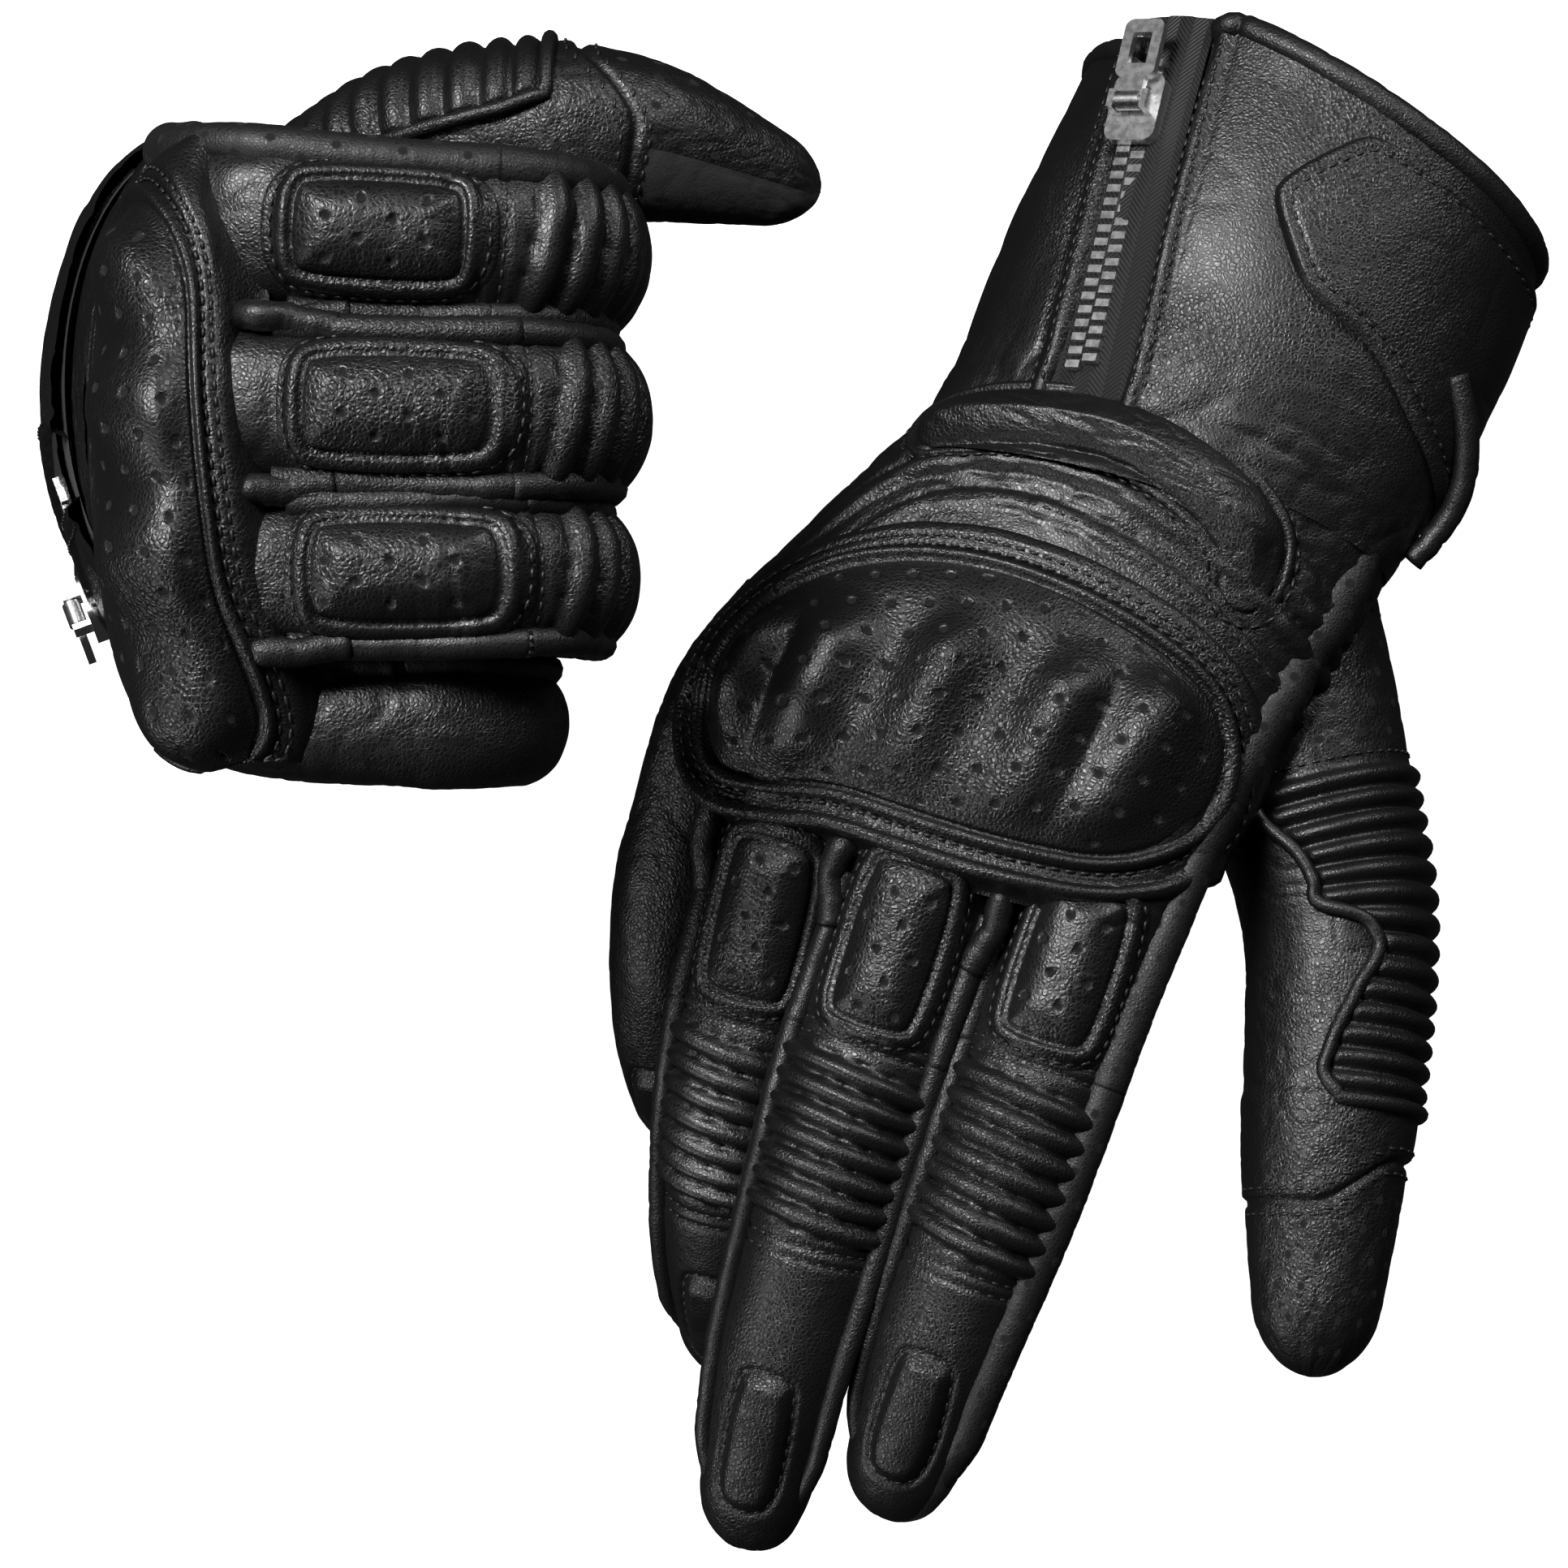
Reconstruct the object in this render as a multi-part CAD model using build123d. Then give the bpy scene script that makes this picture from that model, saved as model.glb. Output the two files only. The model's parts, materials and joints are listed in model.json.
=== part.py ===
from build123d import *
import math
import os
from dataclasses import dataclass

# A pair of short-cuff leather riding gloves, both for the right hand: one lies open, palm down,
# and one stands on its cuff with the hand closed to a fist. Millimetres and degrees, +Z up.
#
# Hand frame of each glove: origin at the middle of the wrist, +Y to the fingers, +Z out of the back
# of the hand, -X to the thumb. Finger frame: origin at a joint, +Y along the finger, +Z on its back.

# ---- leather, fits and joints ----
WALL = 2.4  # leather with its lining
SEAT = 0.05  # gap between pieces that are sewn together
MOVE_GAP = 0.35  # gap between pieces that move on each other
CAP_WALL = 1.6  # wall of the domed bellows over a joint
CAP_HALF = 8.5  # half length of a domed bellows along the finger
TUBE_START = 6.0  # a finger tube starts this far from its joint
KNUCKLE_MAX = {"open": 60.0, "fist": 80.0}  # full bend at the finger's root
KNUCKLE_MIN = {"open": 0.0, "fist": 45.0}  # the fist's guard, set round its knuckles, stops the fingers here
MIDDLE_MAX = 100.0  # full bend at the finger's middle joint
CUT_SPARE = 1.5  # spare angle on each side of a joint's cut
THUMB_CUT = 54.0  # the thumb's end stands bent to its base at rest, so its cut is wider than its range
THUMB_RANGE = {"open": (-10.0, 30.0), "fist": (-35.0, 0.0)}  # from rest
PULL_SWING = 170.0
STRAP_PEEL = 60.0
LIFT = 250.0  # the fist glove may be lifted off this far
LARGE = 400.0

# ---- hand and cuff sections: (along the hand, centre x, centre z, half width, half depth) ----
HAND_SECTIONS = [(0.0, 1.0, 0.0, 39.5, 21.0), (28.0, 8.0, -2.0, 43.5, 21.5), (60.0, 15.0, -1.0, 47.0, 19.5)]
HAND_FRONT = 57.0  # where the back of the hand ends, behind the knuckle domes
PALM_CUT_Y = 62.0
WRIST_RX, WRIST_RZ = 41.0, 23.5
MOUTH_RX, MOUTH_RZ = 42.5, 31.0
CUFF_LENGTH = 65.0
BINDING_DEPTH = 4.0
BINDING_PROUD = 1.2

# ---- knuckle guard ----
GUARD_OUTLINE = [(53.5, 52), (39.5, 37), (13.5, 30.5), (-18.5, 36), (-28, 53), (-18, 69), (17, 74), (30, 73), (49, 78)]
GUARD_THICK = 5.0
GUARD_BUMPS = [(47.0, 60.0, 6.5), (34.0, 58.5, 13.0), (17.0, 56.0, 16.5), (-1.5, 53.0, 14.5), (-15.0, 51.0, 9.0)]
BUMP_R = 10.5
GUARD_WRAP = {"open": 0.0, "fist": 60.0}  # how far the guard bends round the knuckles
KNUCKLE_AXIS_Y = 64.0
NOSE_X, NOSE_W, NOSE_LOW = 13.0, 74.0, 4.0

# ---- palm patch, wrist roll and strap, as outlines in the hand or cuff frame ----
PALM_PATCH = (20.0, 24.0, 44.0, 34.0, 1.5)  # centre x, centre y, width, length, thickness
ROLL_OUTLINE = [(34, 5), (8, 2.5), (-20, 4), (-23, 20), (-17, 20), (-14, 12), (8, 10.5), (34, 14)]
ROLL_THICK = 7.0
STRAP_OUTLINE = [(-1.5, -41), (-6, -54), (-13, -58), (-60, -54), (-60, -13), (-42, -13), (-24, -26), (-12, -28)]
STRAP_THICK = 2.0
STRAP_LOW = -14.0  # the strap is sewn down here, on the thumb side of the cuff
STRAP_HINGE_Y = (-52.0, -12.0)

# ---- zip on the back of the cuff: foot and head as (x, y) in the cuff frame ----
ZIP_FOOT = (15.0, -1.5)
ZIP_HEAD = (27.0, -60.0)
ZIP_SINK = 0.9
TAPE_W, TAPE_T = 13.0, 0.8
TOOTH_PITCH, TOOTH_W, TOOTH_LEN, TOOTH_H = 2.4, 2.4, 1.3, 1.6
TOOTH_GAP = 0.2
SLIDER_W, SLIDER_L, SLIDER_H = 9.0, 12.0, 3.4
SLIDER_FROM_HEAD = 12.5
SLIDER_TRAVEL = 36.0
LUG_GAP, LUG_T, LUG_H = 4.8, 1.1, 3.2
PIN_R, EYE_HOLE_R, EYE_R, EYE_W = 0.7, 0.76, 1.6, 4.2
PULL_W, PULL_L, PULL_T = 7.0, 10.5, 1.4
PULL_NECK = 4.0
PULL_WINDOW = (3.4, 5.6)

# ---- finger pads: start along the finger, length, width, thickness ----
PAD_START, PAD_LEN, PAD_W, PAD_THICK = 13.0, 26.0, 14.0, 2.8


@dataclass(frozen=True)
class Finger:
    """One finger: its root joint in the hand frame, its three lengths and its four radii."""

    name: str
    root: tuple
    lengths: tuple
    radii: tuple  # at the root, the middle joint, the end joint and the tip
    pad: bool = True

    def knuckle_cap(self):
        return self.radii[0] - 1.0

    def middle_cap(self):
        return self.radii[1] - 0.6


FINGERS = [
    Finger("index", (-16.0, 63.0, 0.0), (51.0, 32.0, 31.0), (12.2, 11.4, 10.8, 8.8)),
    Finger("middle", (11.0, 69.0, 3.0), (54.0, 36.0, 33.0), (12.0, 11.4, 10.8, 8.8)),
    Finger("ring", (35.5, 69.0, 1.0), (51.0, 32.0, 30.0), (11.6, 10.8, 10.2, 8.4)),
    Finger("pinky", (57.0, 62.0, -6.0), (37.0, 24.0, 24.0), (9.4, 9.2, 8.8, 7.6), pad=False),
]


@dataclass(frozen=True)
class Bend:
    """How one finger is bent at rest: two sideways turns and three bends."""

    splay: float
    knuckle: float
    spread: float
    middle: float
    end: float


@dataclass(frozen=True)
class Glove:
    """One glove: where its hand frame and cuff mouth stand, and how its fingers are bent."""

    name: str
    wrist: Location
    mouth: Location
    bends: dict
    thumb: tuple  # root, joint, end joint and tip in the hand frame
    thumb_radii: tuple
    thumb_back: tuple  # which way the back of the thumb faces, in the hand frame

    def node(self, name):
        return f"{self.name}_{name}"


def turned(x=0.0, y=0.0, z=0.0):
    return Rotation(x, y, z)


def frame_from(origin, along, back):
    """A location whose +Y runs along and whose +Z is near back."""
    along = Vector(*along).normalized()
    side = along.cross(Vector(*back)).normalized()
    return Location(Plane(origin=origin, x_dir=side, z_dir=side.cross(along)))


def hand_location(origin, yaw, pitch, roll):
    """The open hand: fingers turned by yaw from -Y, raised by pitch, thumb side raised by roll."""
    return Location(origin) * turned(z=180.0 - yaw) * turned(x=pitch) * turned(y=roll)


def placed(shape, location):
    return location * shape


# ---- solids along +Y ----
def taper(r0, r1, length):
    cone = Cone(r0, r1, length, align=(Align.CENTER, Align.CENTER, Align.MIN))
    return turned(x=-90) * cone


def slab(y0, y1):
    return Pos(0, (y0 + y1) / 2, 0) * Box(LARGE, y1 - y0, LARGE)


def half_cut(shape, pivot_y, bend_max, side):
    """Cuts the palm side of a tube back, so that the joint at pivot_y can bend by bend_max."""
    beta = math.radians((180.0 - bend_max) / 2.0 - CUT_SPARE)
    normal = (0, side * math.sin(beta), math.cos(beta))
    return split(shape, bisect_by=Plane(origin=(0, pivot_y, 0), z_dir=normal), keep=Keep.TOP)


def dome(radius):
    """The domed bellows over a joint."""
    shell = Sphere(radius) - Sphere(radius - CAP_WALL)
    return shell & Pos(0, 0, LARGE / 2 - 2.0) * Box(LARGE, 2 * CAP_HALF, LARGE)


def biggest(shape):
    return max(shape.solids(), key=lambda s: s.volume)


# ---- fingers ----
def proximal(finger, glove_name):
    r0, r1 = finger.radii[:2]
    length = finger.lengths[0]
    tube = taper(r0, r1, length) - taper(r0 - WALL, r1 - WALL, length)
    tube = tube & slab(TUBE_START, length - TUBE_START)
    tube = tube - Sphere(finger.knuckle_cap() + MOVE_GAP)
    tube = tube - Pos(0, length, 0) * Sphere(finger.middle_cap() + SEAT)
    tube = half_cut(tube, 0, KNUCKLE_MAX[glove_name], 1)
    return biggest(half_cut(tube, length, MIDDLE_MAX, -1))


def distal(finger, end_bend):
    _, r1, r2, r3 = finger.radii
    _, length, tip_length = finger.lengths
    end = Pos(0, length, 0) * turned(x=-end_bend)

    def body(inset):
        ball = end * Sphere(r2 - inset)
        last = end * taper(r2 - inset, r3 - inset, tip_length - r3)
        tip = end * Pos(0, tip_length - r3, 0) * Sphere(r3 - inset)
        return taper(r1 - inset, r2 - inset, length) + ball + last + tip

    tube = body(0) - body(WALL)
    tube = split(tube, bisect_by=Plane(origin=(0, TUBE_START, 0), z_dir=(0, 1, 0)), keep=Keep.TOP)
    tube = tube - Sphere(finger.middle_cap() + MOVE_GAP)
    return biggest(half_cut(tube, 0, MIDDLE_MAX, 1))


def pad(finger):
    r0, r1 = finger.radii[:2]
    length = finger.lengths[0]
    shell = taper(r0 + PAD_THICK, r1 + PAD_THICK, length) - taper(r0 + SEAT, r1 + SEAT, length)
    block = extrude(RectangleRounded(PAD_W, PAD_LEN, 4.0), amount=LARGE)
    return biggest(shell & Pos(0, PAD_START + PAD_LEN / 2, 0) * block)


def finger_frames(glove, finger):
    """The frames of a finger's root joint and middle joint."""
    bend = glove.bends[finger.name]
    root = glove.wrist * Location(finger.root) * turned(x=-bend.knuckle) * turned(z=bend.splay)
    middle = root * Pos(0, finger.lengths[0], 0) * turned(x=-bend.middle) * turned(z=bend.spread)
    return root, middle


def finger_nodes(glove, finger):
    root, middle = finger_frames(glove, finger)
    straight_middle = root * Pos(0, finger.lengths[0], 0)
    nodes = {
        f"{finger.name}_proximal": placed(proximal(finger, glove.name), root),
        f"{finger.name}_bellows": placed(dome(finger.middle_cap()), straight_middle),
        f"{finger.name}_distal": placed(distal(finger, glove.bends[finger.name].end), middle),
    }
    if finger.pad:
        nodes[f"{finger.name}_pad"] = placed(pad(finger), root)
    return nodes


# ---- hand ----
def ellipse_at(location, rx, rz):
    return location * turned(x=90) * Ellipse(rx, rz)


def hand_solid(proud, extra=0.0):
    """The hand's outer form, grown by proud and run on past its last section by extra."""
    sections = [ellipse_at(Pos(x, y, z), rx + proud, rz + proud) for y, x, z, rx, rz in HAND_SECTIONS]
    body = loft(sections)
    if extra:
        y, x, z, rx, rz = HAND_SECTIONS[-1]
        body = body + extrude(sections[-1].face(), amount=extra, dir=(0, 1, 0))
    return body


def hand_shell():
    shell = hand_solid(0.0) - hand_solid(-WALL) - slab(-1.0, 0.0) - slab(HAND_FRONT, 80)
    for finger in FINGERS:
        shell = shell - Location(finger.root) * Sphere(finger.knuckle_cap() + SEAT)
    return half_cut(shell, PALM_CUT_Y, KNUCKLE_MAX["fist"], -1)


def knuckle_domes():
    return Compound([s for f in FINGERS for s in (Location(f.root) * dome(f.knuckle_cap())).solids()])


def prism(points):
    return extrude(make_face(Polyline(*points, close=True)), amount=LARGE)


def guard(wrap):
    """The knuckle guard on the back of the hand, its front bent round the knuckles by wrap."""
    outline = extrude(make_face(Spline(*GUARD_OUTLINE, periodic=True)), amount=LARGE)
    run_on = KNUCKLE_AXIS_Y - HAND_SECTIONS[-1][0] if wrap else 25.0
    if wrap:
        outline = outline & slab(0, KNUCKLE_AXIS_Y)
    hand = hand_solid(SEAT, run_on + 1.0)
    body = hand_solid(GUARD_THICK, run_on) & outline
    for x, y, z in GUARD_BUMPS:
        body = body + (Pos(x, y, z) * Sphere(BUMP_R) & outline)
    body = body - hand
    if wrap:
        body = body + guard_nose(wrap)
    return biggest(body)


def guard_nose(wrap):
    """The front of the guard, turned round the knuckles from the last hand section."""
    _, x, z, rx, rz = HAND_SECTIONS[-1]
    at = Pos(x, KNUCKLE_AXIS_Y, z)
    section = ellipse_at(at, rx + GUARD_THICK, rz + GUARD_THICK) - ellipse_at(at, rx + SEAT, rz + SEAT)
    section = section & Pos(NOSE_X, KNUCKLE_AXIS_Y, LARGE / 2 + NOSE_LOW) * Box(NOSE_W, LARGE, LARGE)
    return revolve(section, Axis((0, KNUCKLE_AXIS_Y, 0), (1, 0, 0)), -wrap)


def palm_patch():
    x, y, width, length, thick = PALM_PATCH
    block = Pos(x, y, -LARGE / 2) * extrude(RectangleRounded(width, length, 8.0), amount=LARGE / 2)
    return biggest((hand_solid(thick) - hand_solid(SEAT)) & block)


def wrist_roll():
    return biggest((hand_solid(ROLL_THICK) - hand_solid(SEAT)) & prism(ROLL_OUTLINE))


# ---- thumb ----
def thumb_frames(glove):
    root, joint, end, tip = (Vector(*p) for p in glove.thumb)
    base = frame_from(root, joint - root, glove.thumb_back)
    middle = frame_from(joint, end - joint, glove.thumb_back)
    last = frame_from(end, tip - end, glove.thumb_back)
    return base, middle, last


def thumb_nodes(glove):
    """Thumb pieces in the hand frame: a fixed base, the domed bellows and the moving end."""
    root, joint, end, tip = (Vector(*p) for p in glove.thumb)
    r0, r1, r2, r3 = glove.thumb_radii
    base, middle, last = thumb_frames(glove)
    base_length, middle_length, tip_length = (joint - root).length, (end - joint).length, (tip - end).length
    cap = r1 - 0.8
    trunk = taper(r0, r1, base_length) - taper(r0 - WALL, r1 - WALL, base_length)
    trunk = trunk & slab(0, base_length - TUBE_START)
    trunk = half_cut(trunk - Pos(0, base_length, 0) * Sphere(cap + SEAT), base_length, THUMB_CUT, -1)
    trunk = placed(trunk, base) - hand_solid(SEAT)

    def body(inset):
        first = placed(taper(r1 - inset, r2 - inset, middle_length), middle)
        ball = placed(Sphere(r2 - inset), last)
        run = placed(taper(r2 - inset, r3 - inset, tip_length - r3), last)
        return first + ball + run + placed(Pos(0, tip_length - r3, 0) * Sphere(r3 - inset), last)

    free = middle.inverse() * (body(0) - body(WALL))
    free = split(free, bisect_by=Plane(origin=(0, TUBE_START, 0), z_dir=(0, 1, 0)), keep=Keep.TOP)
    free = half_cut(free - Sphere(cap + MOVE_GAP), 0, THUMB_CUT, 1)
    return {
        "thumb_base": biggest(trunk),
        "thumb_bellows": placed(dome(cap), middle),
        "thumb_tip": placed(biggest(free), middle),
    }


# ---- cuff ----
def cuff_solid(glove, proud):
    top = ellipse_at(glove.wrist * Pos(1.0, -SEAT, 0), WRIST_RX + proud, WRIST_RZ + proud)
    mouth = glove.mouth * Ellipse(MOUTH_RX + proud, MOUTH_RZ + proud)
    return loft([top, mouth])


def cuff_frame(glove):
    """Cuff frame: origin at the wrist, +Y from the mouth to the wrist, +Z on the back."""
    wrist = glove.wrist * Pos(1.0, 0, 0)
    back = (glove.wrist * Pos(0, 0, 1)).position - glove.wrist.position
    return frame_from(wrist.position, tuple(wrist.position - glove.mouth.position), tuple(back))


def mouth_slab(glove, depth):
    return glove.mouth * Pos(0, 0, -depth / 2) * Box(LARGE, LARGE, depth)


def cuff_half_axes(y):
    """Half width and half depth of the cuff at a place along the cuff frame."""
    t = min(1.0, -y / CUFF_LENGTH)
    return WRIST_RX + (MOUTH_RX - WRIST_RX) * t, WRIST_RZ + (MOUTH_RZ - WRIST_RZ) * t


def zip_height(x, y):
    """Height of the cuff's back over its middle, at a place in the cuff frame."""
    rx, rz = cuff_half_axes(y)
    return rz * math.sqrt(1.0 - (x / rx) ** 2)


def zip_frame(glove):
    """Zip frame: origin at the zip's foot, +Y to the cuff mouth, +Z out of the cuff."""
    foot = Vector(*ZIP_FOOT, zip_height(*ZIP_FOOT) - ZIP_SINK)
    head = Vector(*ZIP_HEAD, zip_height(*ZIP_HEAD) - ZIP_SINK)
    side = 1.0
    mid_y = (ZIP_FOOT[1] + ZIP_HEAD[1]) / 2
    mid_x = (ZIP_FOOT[0] + ZIP_HEAD[0]) / 2
    slope = (zip_height(mid_x - side, mid_y) - zip_height(mid_x + side, mid_y)) / (2 * side)
    frame = frame_from(foot, head - foot, (slope, 0, 1))
    return cuff_frame(glove) * frame, (head - foot).length


def zip_nodes(glove, tape_room):
    frame, length = zip_frame(glove)
    tape = Pos(0, length / 2, 0) * Box(TAPE_W, length, TAPE_T)
    tooth_z = TAPE_T / 2 + SEAT + TOOTH_H / 2
    teeth = []
    count = int((length - 4.0) / TOOTH_PITCH)
    for i in range(count):
        for hand in (-1, 1):
            x = hand * (TOOTH_W / 2 + TOOTH_GAP)
            y = 3.0 + (i + 0.25 * hand) * TOOTH_PITCH
            teeth.append(frame * Pos(x, y, tooth_z) * Box(TOOTH_W, TOOTH_LEN, TOOTH_H))
    slider_y = length - SLIDER_FROM_HEAD
    low = TAPE_T / 2 + MOVE_GAP
    channel_w = 2 * (TOOTH_W + TOOTH_GAP) + 2 * MOVE_GAP
    channel_top = tooth_z + TOOTH_H / 2 + MOVE_GAP
    channel_h = channel_top - low
    body = Pos(0, slider_y, low + SLIDER_H / 2) * Box(SLIDER_W, SLIDER_L, SLIDER_H)
    body = fillet(body.edges().filter_by(Axis.Z), 2.0)
    body = body - Pos(0, slider_y, low + channel_h / 2) * Box(channel_w, 2 * SLIDER_L, channel_h)
    lug_z = low + SLIDER_H
    pin_z = lug_z + LUG_H - PIN_R * 1.6
    for hand in (-1, 1):
        x = hand * (LUG_GAP / 2 + LUG_T / 2)
        body = body + Pos(x, slider_y, lug_z + LUG_H / 2) * Box(LUG_T, 3.2, LUG_H)
    pin = Pos(0, slider_y, pin_z) * turned(y=90) * Cylinder(PIN_R, LUG_GAP + LUG_T)
    body = body + pin
    eye = turned(y=90) * Cylinder(EYE_R, EYE_W)
    neck = Pos(0, PULL_NECK / 2, 0) * Box(EYE_W, PULL_NECK, PULL_T)
    plate = Pos(0, PULL_NECK + PULL_L / 2, 0) * Box(PULL_W, PULL_L, PULL_T)
    window = Pos(0, PULL_NECK + PULL_L / 2, 0) * Box(*PULL_WINDOW, LARGE)
    plate = fillet(plate.edges().filter_by(Axis.Z), 1.5) - window
    pull = eye + neck + plate - turned(y=90) * Cylinder(EYE_HOLE_R, 2 * EYE_W)
    pull_at = frame * Pos(0, slider_y, pin_z)
    nodes = {
        "zip_tape": biggest((frame * tape) & tape_room),
        "zip_teeth": Compound(teeth),
        "zip_slider": frame * biggest(body),
        "zip_pull": pull_at * pull,
    }
    room = frame * Pos(0, length / 2, LARGE / 2 - TAPE_T / 2 - SEAT)
    slot = room * Box(TAPE_W + 2 * SEAT, length + 2 * SEAT, LARGE)
    return nodes, slot, pull_at


def strap(glove):
    at = cuff_frame(glove)
    block = at * (Pos(0, 0, STRAP_LOW) * prism(STRAP_OUTLINE))
    gap = MOVE_GAP
    shell = cuff_solid(glove, gap + STRAP_THICK) - cuff_solid(glove, gap)
    return biggest((shell & block) - mouth_slab(glove, BINDING_DEPTH + MOVE_GAP))


def strap_hinge(glove):
    """The sewn edge that the strap peels about, along the thumb side of the cuff."""
    ends = []
    for y in STRAP_HINGE_Y:
        rx, rz = cuff_half_axes(y)
        ends.append(Vector(-rx * math.sqrt(1.0 - (STRAP_LOW / rz) ** 2) - MOVE_GAP, y, STRAP_LOW))
    return cuff_frame(glove) * frame_from(ends[0], ends[1] - ends[0], (-1, 0, 0))


def cuff_nodes(glove):
    outer, inner = cuff_solid(glove, 0), cuff_solid(glove, -WALL)
    edge = mouth_slab(glove, BINDING_DEPTH)
    wall = outer - inner
    zips, slot, _ = zip_nodes(glove, wall_room(glove))
    shell = wall - mouth_slab(glove, BINDING_DEPTH + SEAT) - slot
    binding = (cuff_solid(glove, BINDING_PROUD) - cuff_solid(glove, -WALL - 0.6)) & edge
    return {"cuff_shell": biggest(shell), "cuff_binding": biggest(binding), "cuff_strap": strap(glove), **zips}


def wall_room(glove):
    """The space behind the cuff's bound edge, where the zip tape ends."""
    return cuff_solid(glove, 6.0) - mouth_slab(glove, BINDING_DEPTH + 2 * SEAT)


# ---- the two gloves ----
OPEN_YAW, OPEN_PITCH, OPEN_ROLL = 24.0, 13.0, 14.0
OPEN_WRIST = hand_location((64.2, 50.7, 45.5), OPEN_YAW, OPEN_PITCH, OPEN_ROLL)
MOUTH_SLANT = 11.8
OPEN_MOUTH = OPEN_WRIST * Pos(-1.0, -CUFF_LENGTH, -1.0) * turned(z=-MOUTH_SLANT) * turned(x=90)

# the floor is level with the lowest point of the open glove, and the fist stands on it
FLOOR = -2.6
FIST_RAISE = 80.0
FIST_WRIST = Location((-95.5, 66.0, FLOOR + 58.0)) * turned(z=-90) * turned(x=FIST_RAISE)
FIST_MOUTH = Location((-94.5, 54.0, FLOOR)) * turned(z=-90) * turned(x=180)

OPEN = Glove(
    "open",
    OPEN_WRIST,
    OPEN_MOUTH,
    {
        "index": Bend(2.5, 6, 2, 12, 10),
        "middle": Bend(3, 10, 2.5, 10, 10),
        "ring": Bend(4, 20, 2, 22, 18),
        "pinky": Bend(3, 22, 3, 25, 20),
    },
    ((-24, 18, -14), (-51, 56, -20), (-62, 91, -23), (-73, 126, -27)),
    (17.5, 15.0, 13.2, 8.5),
    (-1, -0.25, 0.15),
)
FIST = Glove(
    "fist",
    FIST_WRIST,
    FIST_MOUTH,
    {
        "index": Bend(-3, 80, 0, 90, 42),
        "middle": Bend(-1, 80, 0, 93, 38),
        "ring": Bend(0, 80, 0, 93, 40),
        "pinky": Bend(0, 80, 0, 90, 45),
    },
    ((-22, 14, -16), (-38, 42, -34), (-38, 49, -62), (-27, 46, -96)),
    (14.0, 12.0, 11.8, 7.5),
    (-0.8, 0.6, 0.0),
)


def glove_nodes(glove):
    nodes = {
        "hand_shell": hand_shell(),
        "palm_patch": palm_patch(),
        "knuckle_guard": guard(GUARD_WRAP[glove.name]),
        "wrist_roll": wrist_roll(),
        "finger_gussets": knuckle_domes(),
        **thumb_nodes(glove),
    }
    nodes = {name: placed(shape, glove.wrist) for name, shape in nodes.items()}
    for finger in FINGERS:
        nodes.update(finger_nodes(glove, finger))
    nodes.update(cuff_nodes(glove))
    return {glove.node(name): shape for name, shape in nodes.items()}


def glove_bodies(glove):
    """Which nodes move together."""
    fixed = ["hand_shell", "palm_patch", "knuckle_guard", "wrist_roll", "finger_gussets", "thumb_base"]
    fixed += ["thumb_bellows", "cuff_shell", "cuff_binding", "zip_tape", "zip_teeth"]
    bodies = {"hand": fixed, "thumb_end": ["thumb_tip"], "slider": ["zip_slider"]}
    bodies.update({"pull": ["zip_pull"], "strap": ["cuff_strap"]})
    for finger in FINGERS:
        root = [f"{finger.name}_proximal", f"{finger.name}_bellows"]
        bodies[f"{finger.name}_root"] = root + ([f"{finger.name}_pad"] if finger.pad else [])
        bodies[f"{finger.name}_end"] = [f"{finger.name}_distal"]
    return {glove.node(name): [glove.node(n) for n in nodes] for name, nodes in bodies.items()}


def glove_joints(glove):
    """Each joint: name, parent, child, frame, axis in that frame, and range in degrees or millimetres."""
    knuckle_min = KNUCKLE_MIN[glove.name]
    joints = []
    for finger in FINGERS:
        bend = glove.bends[finger.name]
        root, middle = finger_frames(glove, finger)
        hinge = root * Pos(0, finger.lengths[0], 0)
        knuckle = (knuckle_min - bend.knuckle, KNUCKLE_MAX[glove.name] - bend.knuckle)
        name = finger.name
        joints.append((f"{name}_knuckle", "hand", f"{name}_root", root, (-1, 0, 0), knuckle))
        middle_top = bend.middle if glove is FIST else MIDDLE_MAX
        middle_range = (-bend.middle, middle_top - bend.middle)
        joints.append((f"{name}_middle", f"{name}_root", f"{name}_end", hinge, (-1, 0, 0), middle_range))
    thumb = glove.wrist * thumb_frames(glove)[1]
    zip_at, _ = zip_frame(glove)
    pull_at = zip_nodes(glove, wall_room(glove))[2]
    joints.append(("thumb_bend", "hand", "thumb_end", thumb, (-1, 0, 0), THUMB_RANGE[glove.name]))
    joints.append(("zip_slide", "hand", "slider", zip_at, (0, -1, 0), (0, SLIDER_TRAVEL)))
    joints.append(("pull_swing", "slider", "pull", pull_at, (1, 0, 0), (0, PULL_SWING)))
    joints.append(("strap_peel", "hand", "strap", strap_hinge(glove), (0, -1, 0), (0, STRAP_PEEL)))
    return joints


def build():
    """Every node, shifted so that the pair stands centred on the origin."""
    nodes = {**glove_nodes(OPEN), **glove_nodes(FIST)}
    box = Compound(list(nodes.values())).bounding_box()
    shift = Pos(-(box.min.X + box.max.X) / 2, -(box.min.Y + box.max.Y) / 2, -box.min.Z)
    return {name: shift * shape for name, shape in nodes.items()}, shift


if __name__ == "__main__":
    os.makedirs("parts", exist_ok=True)
    parts, stand = build()
    for part_name, part_shape in parts.items():
        export_step(part_shape, f"parts/{part_name}.step")
        print(part_name, round(part_shape.volume, 1))
    for pair_glove in (OPEN, FIST):
        for joint_name, _, _, place, _, travel in glove_joints(pair_glove):
            print(pair_glove.node(joint_name), (stand * place).position, travel)
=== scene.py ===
"""Looks of a pair of black leather riding gloves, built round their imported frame.

Everything is laid out in the hand's own millimetres (x away from the thumb, y towards the fingers,
z out of the back of the hand) and turned into the frame's metres when a piece is made.
"""

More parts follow.
